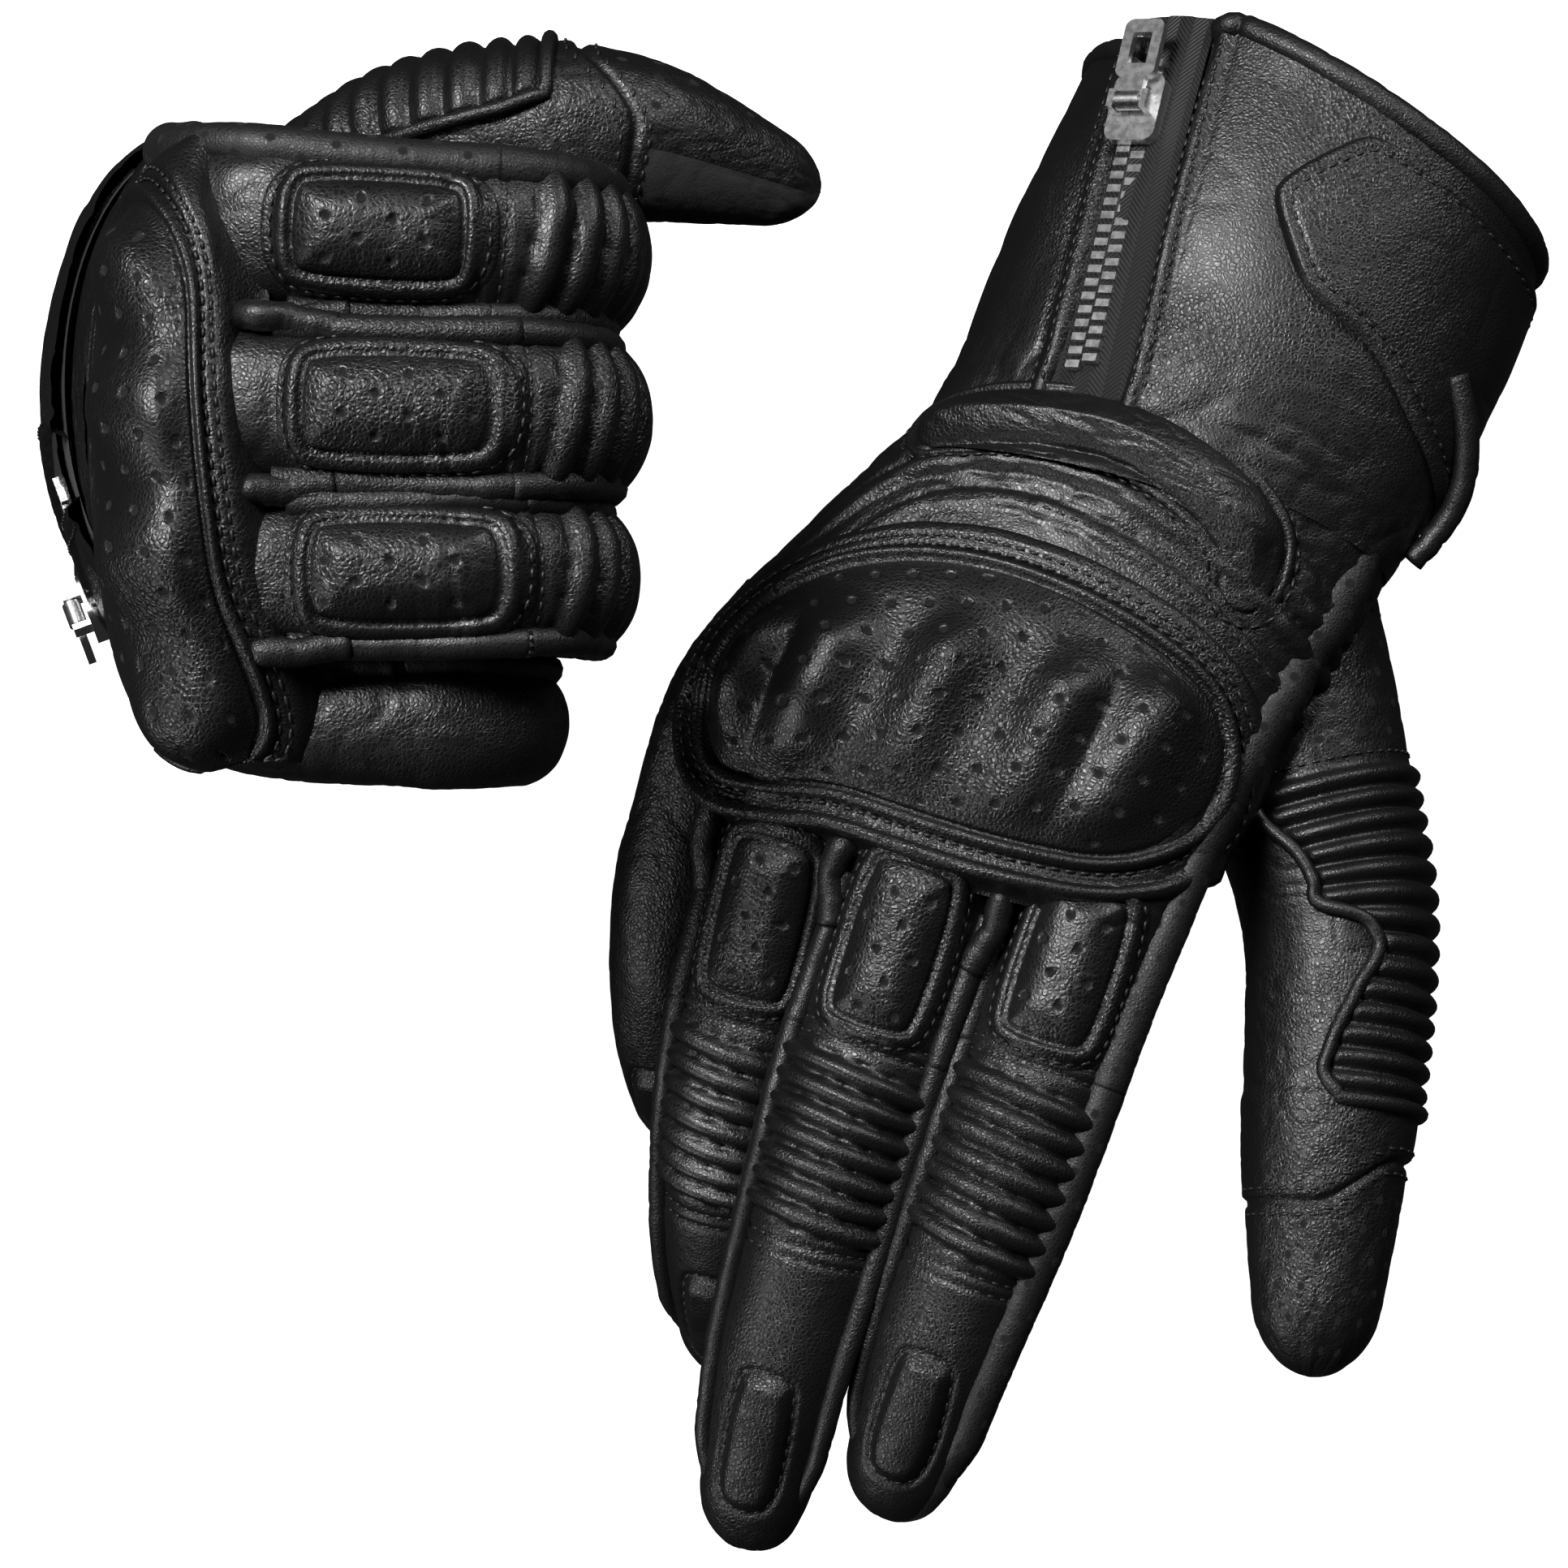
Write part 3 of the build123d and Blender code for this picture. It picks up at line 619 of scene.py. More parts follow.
# ---------------------------------------------------------------- making meshes
class Maker:
    """Turns grids, tubes and stitches into named objects in the frame."""

    def __init__(self, pose: Pose, prefix: str) -> None:
        self.pose, self.prefix = pose, prefix

    def mesh(self, name: str, verts: Array, faces: list, finish: Finish, attributes: Optional[dict] = None, plan: Optional[Array] = None) -> bpy.types.Object:
        """Makes one object.

        Args:
            name: the piece's name without the glove's prefix.
            verts: points in hand millimetres.
            faces: vertex numbers of each face.
            finish: what it is made of.
            attributes: numbers per vertex, by name.
            plan: flat millimetres per vertex for a woven finish.

        Returns:
            The object, linked to the scene.
        """
        data = bpy.data.meshes.new(self.prefix + name)
        data.from_pydata(self.pose.out(np.asarray(verts, float)).tolist(), [], faces)
        data.polygons.foreach_set("use_smooth", np.ones(len(data.polygons), bool))
        for key, values in (attributes or {}).items():
            layer = data.attributes.new(key, "FLOAT", "POINT")
            layer.data.foreach_set("value", np.asarray(values, np.float32).ravel())
        if plan is not None:
            layer = data.uv_layers.new(name="plan")
            index = np.zeros(len(data.loops), int)
            data.loops.foreach_get("vertex_index", index)
            layer.data.foreach_set("uv", np.asarray(plan, np.float32)[index].ravel())
        data.update()
        data.materials.append(finish.material())
        obj = bpy.data.objects.new(self.prefix + name, data)
        bpy.context.scene.collection.objects.link(obj)
        return obj

    def skin(
        self,
        name: str,
        skin: Skin,
        start: float,
        end: float,
        finish: Finish,
        step: float,
        around: int,
        other: Optional[tuple[Finish, Callable]] = None,
        close_end: bool = True,
        inward: bool = False,
        mouth: Optional[Callable[[Array], Array]] = None,
    ) -> bpy.types.Object:
        """Makes a length of a skin into an object.

        Args:
            name: the piece's name.
            skin: the skin.
            start: where along its spine it starts.
            end: where it ends.
            finish: its finish.
            step: distance between rings in millimetres.
            around: points round each ring.
            other: a second finish, and where it is as a test of distance and angle.
            close_end: if the end is closed.
            inward: if it is seen from inside.
            mouth: how far the start is drawn in at each angle.

        Returns:
            The object.
        """
        s = skin.rings(start, end, step * FINE)
        n = int(around / FINE)
        phi = np.linspace(-180, 180, n, endpoint=False)
        gs, gp = np.meshgrid(s, phi, indexing="ij")
        if mouth is not None:
            gs = gs + mouth(gp) * ramp(gs, start + 34.0, start)
        p = skin.at(gs, gp)
        faces = grid_faces(len(s), n, wrap=True)
        verts = p.reshape(-1, 3)
        holes = skin.holes(gs, gp, skin.across(gs, gp)).ravel() if skin.holes else np.zeros(len(verts))
        if close_end:
            base = (len(s) - 1) * n
            verts, holes = np.vstack([verts, verts[base : base + n].mean(0)]), np.r_[holes, 0]
            faces += [(base + k, base + (k + 1) % n, len(verts) - 1) for k in range(n)]
        flip = facing(verts, faces, n, len(s)) != inward
        made = self.mesh(name, verts, [f[::-1] for f in faces] if flip else faces, finish, {"hole": holes})
        if other is not None:
            made.data.materials.append(other[0].material())
            first = np.array([min(f) for f in faces])
            where = other[1](gs.ravel(), gp.ravel())[np.minimum(first, gs.size - 1)]
            made.data.polygons.foreach_set("material_index", where.astype(np.int32))
        return made

    def tube(
        self, name: str, points: Array, radius: Array, finish: Finish, sides: int = 12, crumple: float = 0.0, seed: int = 1, closed: bool = False
    ) -> bpy.types.Object:
        """Makes a round roll along points, with closed ends."""
        verts, faces = tube_parts(points, radius, sides, crumple, seed)
        holes = np.zeros(len(verts))
        if finish is Finish.STRIP:
            gap = np.r_[0, np.cumsum(np.linalg.norm(np.diff(points, axis=0), axis=1))]
            turn, along = np.meshgrid(np.arange(sides), gap)
            size = float(np.mean(radius)) * 2 * math.pi / sides
            holes[: turn.size] = prick(turn * size, along, 5.4, 0.7).ravel()
        return self.mesh(name, verts, faces, finish, {"hole": holes})

    def stitches(self, name: str, runs: Sequence[tuple[Array, Array]]) -> bpy.types.Object:
        """Makes all the stitches of a piece: each run is the two ends of its stitches."""
        a = np.concatenate([r[0] for r in runs])
        b = np.concatenate([r[1] for r in runs])
        verts, faces = stitch_parts(a, b, 0.3)
        return self.mesh(name, verts, faces, Finish.THREAD)


def grid_faces(rows: int, cols: int, wrap: bool) -> list:
    """Quads of a grid of points."""
    i = np.arange(rows - 1)[:, None] * cols
    j = np.arange(cols if wrap else cols - 1)[None]
    k = (j + 1) % cols
    return np.stack([i + j, i + k, i + cols + k, i + cols + j], -1).reshape(-1, 4).tolist()


def facing(verts: Array, faces: list, n: int, rows: int) -> bool:
    """True if a wrapped grid's faces look inward."""
    ring = (rows // 2) * n
    f = faces[ring] if ring < len(faces) else faces[0]
    a, b, c = verts[f[0]], verts[f[1]], verts[f[2]]
    centre = verts[ring : ring + n].mean(0)
    return float(np.cross(b - a, c - a) @ (a - centre)) < 0


def tube_parts(points: Array, radius: Array, sides: int, crumple: float = 0.0, seed: int = 1) -> tuple[Array, list]:
    """Points and faces of a round roll with closed ends."""
    p = np.asarray(points, float)
    r = np.broadcast_to(np.asarray(radius, float), len(p)).copy()
    t = unit(np.gradient(p, axis=0))
    x = unit(np.cross(t[0], [0.3, 0.5, 0.8]))
    turn = np.linspace(0, 2 * math.pi, sides, endpoint=False)
    gap = np.r_[0, np.cumsum(np.linalg.norm(np.diff(p, axis=0), axis=1))]
    noise = Crumple(seed)
    rings = []
    for i in range(len(p)):
        x = unit(x - t[i] * (x @ t[i]))
        y = np.cross(t[i], x)
        swell = 1 + crumple * (noise.swell(np.full(sides, gap[i] / 2.2), turn * 0.8) - 0.4 * (math.sin(gap[i] * 3.1 + math.sin(gap[i])) > 0.86))
        rings.append(p[i] + (np.cos(turn) * swell)[:, None] * x * r[i] + (np.sin(turn) * swell)[:, None] * y * r[i])
    verts = np.vstack(rings + [p[:1], p[-1:]])
    faces = grid_faces(len(p), sides, True)
    last = (len(p) - 1) * sides
    for k in range(sides):
        faces.append((len(verts) - 2, (k + 1) % sides, k))
        faces.append((last + k, last + (k + 1) % sides, len(verts) - 1))
    return verts, faces


def stitch_parts(a: Array, b: Array, radius: float) -> tuple[Array, list]:
    """Points and faces of many short plump stitches between a and b."""
    t = unit(b - a)
    size = np.linalg.norm(b - a, axis=1, keepdims=True)
    x = unit(np.cross(t, np.array([0.31, 0.52, 0.79])))
    y = np.cross(t, x)
    verts, sides = [a], 5
    for along, r in ((0.12, 0.75), (0.5, 1.0), (0.88, 0.75)):
        for k in range(sides):
            turn = 2 * math.pi * k / sides
            verts.append(a + t * size * along + (x * math.cos(turn) + y * math.sin(turn)) * radius * r)
    verts.append(b)
    stack = np.stack(verts, 1)
    one: list = []
    for k in range(sides):
        m = (k + 1) % sides
        one.append((0, 1 + m, 1 + k))
        for ring in (0, 1):
            one.append((1 + ring * sides + k, 1 + ring * sides + m, 1 + (ring + 1) * sides + m, 1 + (ring + 1) * sides + k))
        one.append((11 + k, 11 + m, 16))
    faces = [tuple(v + 17 * i for v in f) for i in range(len(a)) for f in one]
    return stack.reshape(-1, 3), faces


def sew(surface: Callable[[Array, Array, float], Array], track: Track, pitch: float = 2.5, length: float = 1.7, lift: float = 0.05) -> tuple[Array, Array]:
    """Ends of the stitches of one row sewn along a track on a surface."""
    start = np.arange(0.5, track.length - length, pitch)
    a, b = track.at(start), track.at(start + length)
    return surface(a[:, 0], a[:, 1], lift), surface(b[:, 0], b[:, 1], lift)


def prick(x: Array, y: Array, pitch: float, radius: float, row: float = 0.87) -> Array:
    """1 in the middle of holes set out in staggered rows, fading to 0 at their rim."""
    j = np.round(y / (pitch * row))
    i = np.round(x / pitch - 0.5 * (j % 2))
    dx, dy = x - (i + 0.5 * (j % 2)) * pitch, y - j * pitch * row
    return np.clip(1.5 - np.hypot(dx, dy) / radius, 0, 1)


# ---------------------------------------------------------------- sizes of the gloves
@dataclass(frozen=True)
class FingerPlan:
    """One finger: its root in the hand, the lengths between its joints, and what is sewn on it."""

    name: str
    root: tuple[float, float, float]
    lengths: tuple[float, float, float]
    radii: tuple[float, float, float, float]
    beside: tuple[float, float]
    crown: float
    ribs: Optional[tuple[float, float, int]]
    pad: Optional[tuple[float, float]]
    seam: float
    seed: int


FINGERS = (
    FingerPlan("index", (-16, 63, 0), (51, 32, 31), (13.4, 12.6, 11.4, 9.4), (13.8, 13.6), 14.2, (40.5, 67.5, 7), (9.0, 34.0), 38.0, 11),
    FingerPlan("middle", (11, 69, 3), (54, 36, 33), (13.2, 12.4, 11.2, 9.2), (12.7, 12.6), 14.6, (41.5, 67.5, 7), (9.0, 35.5), 39.0, 23),
    FingerPlan("ring", (35.5, 69, 1), (51, 32, 30), (12.4, 11.6, 10.6, 8.8), (11.6, 11.6), 14.6, (43.5, 70.0, 7), (11.0, 37.0), 41.0, 37),
    FingerPlan("pinky", (57, 62, -6), (37, 24, 24), (10.6, 10.0, 9.2, 7.9), (9.0, 9.6), 13.0, None, None, 24.0, 53),
)

GUARD_OUTLINE = ((53.5, 52), (39.5, 37), (13.5, 30.5), (-18.5, 35), (-27, 43), (-28, 56), (-19, 68), (-2, 72), (14, 73), (28, 73), (38, 76), (49, 77), (54.5, 66))
WRIST_ROLL = ((39.5, 7), (30, 2.5), (16, -0.5), (2, -1.5), (-14, 2.5), (-23, 8), (-25, 15), (-24, 23), (-18, 24), (-15.5, 15), (2, 8.5), (16, 9.5), (30, 13), (39.5, 16))
SEAM_ACROSS = ((54, 47), (48.9, 41), (36.9, 24), (24, 18.5), (12.0, 17.4), (-4, 19.5), (-18.0, 23.6), (-30, 29), (-37, 31.5))


@dataclass(frozen=True)
class HandPlan:
    """How one glove is posed and what differs on it."""

    prefix: str
    wrist: tuple[float, float, float]
    turns: tuple[float, float, float]
    folded: bool
    bends: dict
    mouth: tuple[float, float, float]
    mouth_turns: tuple[float, float, float]
    thumb: tuple
    thumb_radii: tuple[float, float, float, float]
    thumb_up: tuple[float, float, float]
    thumb_ribs: tuple[float, float, int]
    thumb_seam: float


OPEN = HandPlan(
    "open_", (64.2, 50.7, 45.5), (156.0, 13.0, 14.0), False,
    {"index": (2.5, 6, -2.5, 12, 10), "middle": (3, 10, 2.0, 10, 10), "ring": (5.6, 20, 3.5, 22, 18), "pinky": (6.0, 22, 5, 25, 20)},
    (-1.0, -65.0, -1.0), (-11.8, 0.0, 0.0),
    ((-24, 18, -14), (-51, 56, -20), (-62, 91, -23), (-73, 126, -27)), (17.5, 15.4, 13.6, 9.4), (-1, -0.25, 0.15),
    (24.5, 76.5, 14), 94.0,
)
FIST = HandPlan(
    "fist_", (-95.5, 66.0, 54.45), (-90.0, 80.0, 0.0), True,
    {"index": (-3, 80, 0, 90, 42), "middle": (-1, 80, 0, 93, 38), "ring": (0, 80, 0, 93, 40), "pinky": (0, 80, 0, 90, 45)},
    (12.0, -57.0, -11.1), (0.0, 10.0, 0.0),
    ((-21, 14, -16), (-34, 41, -34), (-34.5, 47, -62), (-26, 43, -95)), (13.6, 12.6, 13.4, 5.6), (-1.0, 0.3, 0.0),
    (12.0, 53.0, 10), 66.0,
)


def axes_of(z: float, x: float, y: float = 0.0) -> Array:
    """Rows are the axes after turning about z, then x, then y, in degrees."""
    a, b, c = (math.radians(v) for v in (z, x, y))
    rz = np.array([[math.cos(a), -math.sin(a), 0], [math.sin(a), math.cos(a), 0], [0, 0, 1]])
    rx = np.array([[1, 0, 0], [0, math.cos(b), -math.sin(b)], [0, math.sin(b), math.cos(b)]])
    ry = np.array([[math.cos(c), 0, math.sin(c)], [0, 1, 0], [-math.sin(c), 0, math.cos(c)]])
    return (rz @ rx @ ry).T


def joint_place(name: str) -> Array:
    """Where a joint is at rest, in metres."""
    return np.array(next(j for j in frame["joints"] if j["name"] == name)["pos_m"], float)


def knotted(knots: Sequence[float], centres: Sequence, axes: Sequence) -> Spine:
    """A spine whose distance along is given at knots, with a centre and axes at each."""
    made = Spine.__new__(Spine)
    s = np.arange(knots[0], knots[-1] + 0.25, 0.5)
    c = np.stack([curve(knots, [p[k] for p in centres], s) for k in range(3)], -1)
    rows = [unit(np.stack([curve(knots, [a[r][k] for a in axes], s) for k in range(3)], -1)) for r in range(3)]
    made.s, made.data = s, np.hstack([c, *rows])
    made.first, made.last = float(s[0]), float(s[-1])
    return made


class Back:
    """The back of the hand and the knuckles as one smooth surface that patches lie on."""

    KNUCKLE = 58.0
    SLIDE = 14.0
    TURN = math.radians(3.1)

    def __init__(self, skin: Skin, plan: HandPlan) -> None:
        self.skin, self.plan = skin, plan

    def place(self, x: Array, y: Array, lift: Array = 0.0) -> Array:
        """Points over the hand, with x and y as on the flat hand."""
        x, y = np.broadcast_arrays(np.asarray(x, float), np.asarray(y, float))
        lift = np.broadcast_to(np.asarray(lift, float), x.shape)
        if self.plan.folded:
            x, y = x * 1.04 + 9.5, y + self.SLIDE * ramp(y, 10.0, 50.0)
        knee = np.minimum(y, self.KNUCKLE)
        phi = self.skin.top_angle(knee, x)
        base, n = self.skin.bare(knee, phi), self.skin.normal(knee, phi)
        past = np.maximum(y - self.KNUCKLE, 0.0)
        if not self.plan.folded:
            droop = np.radians(curve([-30, -16, 11, 35.5, 62], [4, 6, 10, 19, 23], x)) * ramp(past, 0, 10)
            base = base + np.stack([0 * past, past * np.cos(droop), -past * np.sin(droop)], -1)
            n = n + np.stack([0 * past, np.sin(droop), 0 * past], -1)
            return base + unit(n) * lift[..., None]
        turn = np.minimum(past * self.TURN, math.radians(96))
        over = np.maximum(past - math.radians(96) / self.TURN, 0)
        centre = curve([-30, -16, 11, 35.5, 62], [0, 0, 3, 1, -5], x)
        rise = base[..., 2] - centre
        ahead = curve([-30, -16, 11, 35.5, 62], [17.5, 19.5, 25.0, 25.0, 15.5], x)
        flat = base + n * lift[..., None]
        bent = np.stack([base[..., 0] + n[..., 0] * lift * np.cos(turn), self.KNUCKLE + (ahead + lift) * np.sin(turn), centre + (rise + lift) * np.cos(turn) - over * 0.98], -1)
        return np.where((past > 0)[..., None], bent, flat)


    def skin_place(self, x: Array, y: Array, lift: Array = 0.0) -> Array:
        """Points over the flat part of the hand."""
        phi = self.skin.top_angle(y, x)
        return self.skin.bare(y, phi) + self.skin.normal(y, phi) * np.broadcast_to(lift, np.shape(x))[..., None]


class Patch:
    """A padded or flat shape sewn on a surface, meshed in rings inside and outside its outline."""

    def __init__(self, outline: Track, centre: tuple[float, float], place: Callable, height: Callable, skirt: float) -> None:
        self.outline, self.centre = outline, np.asarray(centre, float)
        self.place, self.height, self.skirt = place, height, skirt

    def build(self, maker: Maker, name: str, finish: Finish, step: float = 0.5, holes: Optional[Callable] = None, plan: bool = False) -> bpy.types.Object:
        """Makes the patch."""
        step = step * FINE
        n = int(self.outline.length / step / 1.1)
        along = np.linspace(0, self.outline.length, n, endpoint=False)
        rim = self.outline.at(along)
        ahead = self.outline.at((along + 1.0) % self.outline.length)
        behind = self.outline.at((along - 1.0) % self.outline.length)
        t = unit(ahead - behind)
        side = np.stack([t[:, 1], -t[:, 0]], 1)
        area = float(np.sum(rim[:, 0] * np.roll(rim[:, 1], -1) - rim[:, 1] * np.roll(rim[:, 0], -1)))
        side = side if area > 0 else -side
        reach = np.linalg.norm(rim - self.centre, axis=1)
        outs = np.linspace(self.skirt, 0, max(2, int(self.skirt / step)))[:-1] if self.skirt > 0 else np.array([])
        ins = np.linspace(0, 1, max(4, int(reach.mean() / step)))[:-1]
        rows = [rim + side * d for d in outs] + [rim + (self.centre - rim) * q for q in ins]
        dist = [np.full(n, d) for d in outs] + [-reach * q for q in ins]
        flat = np.concatenate([np.stack(rows).reshape(-1, 2), self.centre[None]])
        d = np.concatenate([np.stack(dist).ravel(), [-reach.min()]])
        deep, _ = self.outline.distance(flat[:, 0], flat[:, 1], 60.0)
        d = np.where(d < 0, -np.abs(deep), d)
        h = self.height(d, flat[:, 0], flat[:, 1])
        holed = holes(flat[:, 0], flat[:, 1]) * (d < -1.6) if holes else np.zeros(len(flat))
        verts = self.place(flat[:, 0], flat[:, 1], h - 0.6 * smooth(holed))
        faces = grid_faces(len(rows), n, True)
        base = (len(rows) - 1) * n
        faces += [(base + k, base + (k + 1) % n, len(verts) - 1) for k in range(n)]
        if area < 0:
            faces = [tuple(f)[::-1] for f in faces]
        return maker.mesh(name, verts, faces, finish, {"hole": holed}, flat if plan else None)


def soft_side(kind: str, d: Array) -> Array:
    """How a sewn rim stands: pad edge, then a welt, then the sewn channel, by distance from the rim."""
    welt = 1.5 if kind == "guard" else 0.95
    return welt * roll_profile(d - 1.15, 1.15) - 0.35 * hump(d - 2.9, 0.8) - 0.3 * hump(d - 4.5, 0.7)


# ---------------------------------------------------------------- the parts of a glove
class Glove:
    """One glove."""

    def __init__(self, plan: HandPlan) -> None:
        self.plan = plan
        axes = axes_of(plan.turns[0], plan.turns[1], plan.turns[2])
        root = np.array(FINGERS[0].root, float)
        self.pose = Pose(joint_place(plan.prefix + "index_knuckle") - (root @ axes) * MM, axes)
        self.maker = Maker(self.pose, plan.prefix)
        self.body = plan.prefix + "hand"
        self.noise = Crumple(5 if plan.folded else 7)
        self.hand = self.hand_skin()
        self.back = Back(Skin(self.hand.spine, replace(self.hand.section, cap=0.0)), plan)

    def build(self) -> None:
        """Makes every piece."""
        for part in (self.make_hand, self.make_guard, self.make_roll, self.make_cuff, self.make_thumb, self.make_zip):
            part()
        for finger in FINGERS:
            self.make_finger(finger)
        self.make_forks()
        self.make_strip()
        LOG.info("%s glove made", self.plan.prefix)

    def settle(self, piece: bpy.types.Object, *nodes: str, body: str = "hand") -> bpy.types.Object:
        """Fixes a piece to a body, standing for frame nodes."""
        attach(piece, self.plan.prefix + body)
        if nodes:
            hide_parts(*[self.plan.prefix + n for n in nodes])
        return piece

    def bend(self, piece: bpy.types.Object, a: str, b: str, start: Array, end: Array, *nodes: str) -> bpy.types.Object:
        """Bakes a piece's place into its mesh, standing for frame nodes."""
        self.plan.prefix + a
        self.plan.prefix + b
        tuple(self.pose.out(start))
        tuple(self.pose.out(end))
        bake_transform(piece)
        if nodes:
            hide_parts(*[self.plan.prefix + n for n in nodes])
        return piece

    # ---- hand
    def hand_skin(self) -> Skin:
        """The skin from the wrist to the knuckles."""
        knots = [-4, 0, 28, 60, 72]
        centres = [(0.6, -4, 0), (1, 0, 0), (8, 28, -2), (15, 60, -1), (15, 72, -1)]
        spine = knotted(knots, centres, [np.eye(3)] * 5)
        end, cap = (62.0, 10.0) if self.plan.folded else (72.0, 13.0)
        top = [20, 18.6, 17.6, 15.4, 14.8] if self.plan.folded else [21.4, 21.6, 22, 19.8, 18]
        section = Section(knots, [39.6, 40, 44.5, 47.8, 46], [39.6, 40, 43.5, 46.2, 44], top, [21, 21, 21.8, 19.5, 18], [2.1, 2.1, 2.2, 2.3, 2.3], cap, end)
        skin = Skin(spine, section)
        seam = Track(SEAM_ACROSS)
        noise = self.noise

        def relief(s: Array, phi: Array, x: Array) -> Array:
            top = ramp(np.abs(phi), 100, 80)
            d, _ = seam.distance(x + spine_shift(s), s)
            gather = band(s, 8, 20, 6) * top
            h = 0.35 * noise.swell(phi / 14, s / 11) + 0.4 * gather * noise.crease(phi / 11, s / 2.3)
            h += 0.18 * noise.crease(phi / 12 + 7, s / 6 + 3)
            h += top * (-0.5 * hump(d, 1.0) + 0.6 * roll_profile(d + 1.8, 1.6) + 0.3 * ramp(d, 0.6, -0.6))
            for k, gap in enumerate((5.5, 9.5, 13.5)):
                swing = d - gap - 0.8 * noise.swell(x / 13, s * 0 + k)
                h += top * (0.7 if self.plan.folded else 1.5 - 0.25 * k) * roll_profile(swing, 1.9) * ramp(x, 48, 30)
            edge = (np.abs(phi) > 96) & (np.abs(phi) < 101)
            return h + np.where(edge, -0.4, 0.0)

        def spine_shift(s: Array) -> Array:
            return spine.at(s)[0][..., 0]

        skin.relief = relief
        return skin

    def top(self, x: Array, y: Array, lift: float) -> Array:
        """Points on the finished back of the hand."""
        return self.hand.at(y, self.hand.top_angle(y, x), lift)

    def make_hand(self) -> None:
        """The back and palm of the hand, with its stitched seam."""
        under = lambda s, phi: np.abs(phi) > 99
        hand = self.maker.skin("hand_leather", self.hand, -4, self.hand.section.end, Finish.SOFT, 0.6, 330, other=(Finish.SUEDE, under))
        self.settle(hand, "hand_shell", "finger_gussets", "palm_patch", "thumb_base")
        seam = Track(SEAM_ACROSS)
        runs = [sew(self.top, seam.moved(-1.8), 2.4, 1.6)]
        self.settle(self.maker.stitches("hand_stitching", runs))

    # ---- knuckle guard
    def make_guard(self) -> None:
        """The padded, pricked knuckle guard with its welt, double stitching and the leather round it."""
        folded = self.plan.folded
        bumps = [(48.4, 59.4), (35.2, 55.6), (17.2, 51.5), (-1.8, 49.8), (-14.8, 46.8)]
        if folded:
            bumps = [(45.0, 60.5), (23.0, 58.5), (2.0, 57.0), (-18.0, 55.0)]
        noise, outline = self.noise, Track(GUARD_OUTLINE, True)
        wide, high, thick = (6.8, 3.4, 1.6) if folded else (5.5, 4.2, 2.6)

        def height(d: Array, x: Array, y: Array) -> Array:
            pad = 1.0 + thick * np.sqrt(np.clip(ramp(-d, -0.4, 9.0), 0, 1))
            knobs = 0.0 * x
            for a, b in bumps:
                rise = ramp(y, b - 13, b - 2) * (1 - 0.7 * ramp(y, b + 1, b + 19))
                knobs = np.maximum(knobs, high * rise * np.exp(-(((x - a - 0.1 * (y - b)) / wide) ** 2) ** 1.1))
            inside = pad + knobs * ramp(-d, 0.5, 6.0) + 0.2 * noise.swell(x / 6, y / 6)
            front = ramp(y, 56, 68)
            soft = 1.1 - 0.9 * ramp(d, 4, 9) + 0.25 * noise.swell(x / 6, y / 6) + 0.15 * noise.crease(x / 8 + 3, d / 2.4) * ramp(d, 5.0, 7.0)
            outside = soft + soft_side("guard", d) - 1.4 * ramp(x, 46, 57)
            if folded:
                outside = outside - 2.0 * ramp(d, 6.0, 14.0) - 3.4 * front * ramp(d, 5.0, 14.0)
            else:
                outside = outside + (1.4 * front + 0.3) * roll_profile(d - 6.0, 1.5) - 3.2 * ramp(d, 6.6, 9.5)
            return np.where(d < 0, inside, outside) - 0.5 * hump(d, 0.7)

        def pricked(x: Array, y: Array) -> Array:
            u, v = x * 0.94 + y * 0.33, y * 0.94 - x * 0.33
            return prick(u, v, 6.0, 0.6)

        place = self.back.place
        patch = Patch(outline, (14.0, 54.0), place, height, 14.0 if folded else 9.5)
        guard = patch.build(self.maker, "guard", Finish.PERFORATED, 0.45, pricked)
        self.settle(guard, "knuckle_guard")
        on = lambda x, y, up: place(x, y, 1.25 - 0.2 + up)
        side = -1 if self.turns_left(outline) else 1
        runs = [sew(on, outline.moved(side * 2.9), 2.3, 1.6), sew(on, outline.moved(side * 4.5), 2.3, 1.6)]
        self.settle(self.maker.stitches("guard_stitching", runs))

    @staticmethod
    def turns_left(track: Track) -> bool:
        """True if a closed track runs anticlockwise."""
        p = track.points
        return float(np.sum(p[:-1, 0] * p[1:, 1] - p[:-1, 1] * p[1:, 0])) > 0

    def make_roll(self) -> None:
        """The padded roll over the wrist."""
        outline, noise, tall = Track(WRIST_ROLL, True, 2), self.noise, 1.6 if self.plan.folded else 4.0

        def height(d: Array, x: Array, y: Array) -> Array:
            body = (0.2 + tall * ramp(y, 21, 9)) * np.sqrt(np.clip(-d / 5.0, 0, 1)) + 0.3 * noise.crease(x / 5, y / 2.5 + 9) * ramp(-d, 0.5, 2.5)
            return np.where(d < 0, 0.5 + body, 0.5 + 0.7 * roll_profile(d - 1.0, 1.0) * ramp(y, 23, 14) - 2.4 * ramp(d, 1.4, 3.6) - 1.6 * ramp(y, 18, 24)) - 0.3 * hump(d, 0.6)

        patch = Patch(outline, (-16.0, 9.0), self.back.skin_place, height, 3.6)
        roll = patch.build(self.maker, "wrist_roll_pad", Finish.SOFT, 0.5)
        self.settle(roll, "wrist_roll")
        side = -1 if self.turns_left(outline) else 1
        runs = [sew(lambda x, y, up: self.top(x, y, up + 0.2), outline.moved(side * 2.2), 2.4, 1.7)]
        self.settle(self.maker.stitches("wrist_roll_stitching", runs))

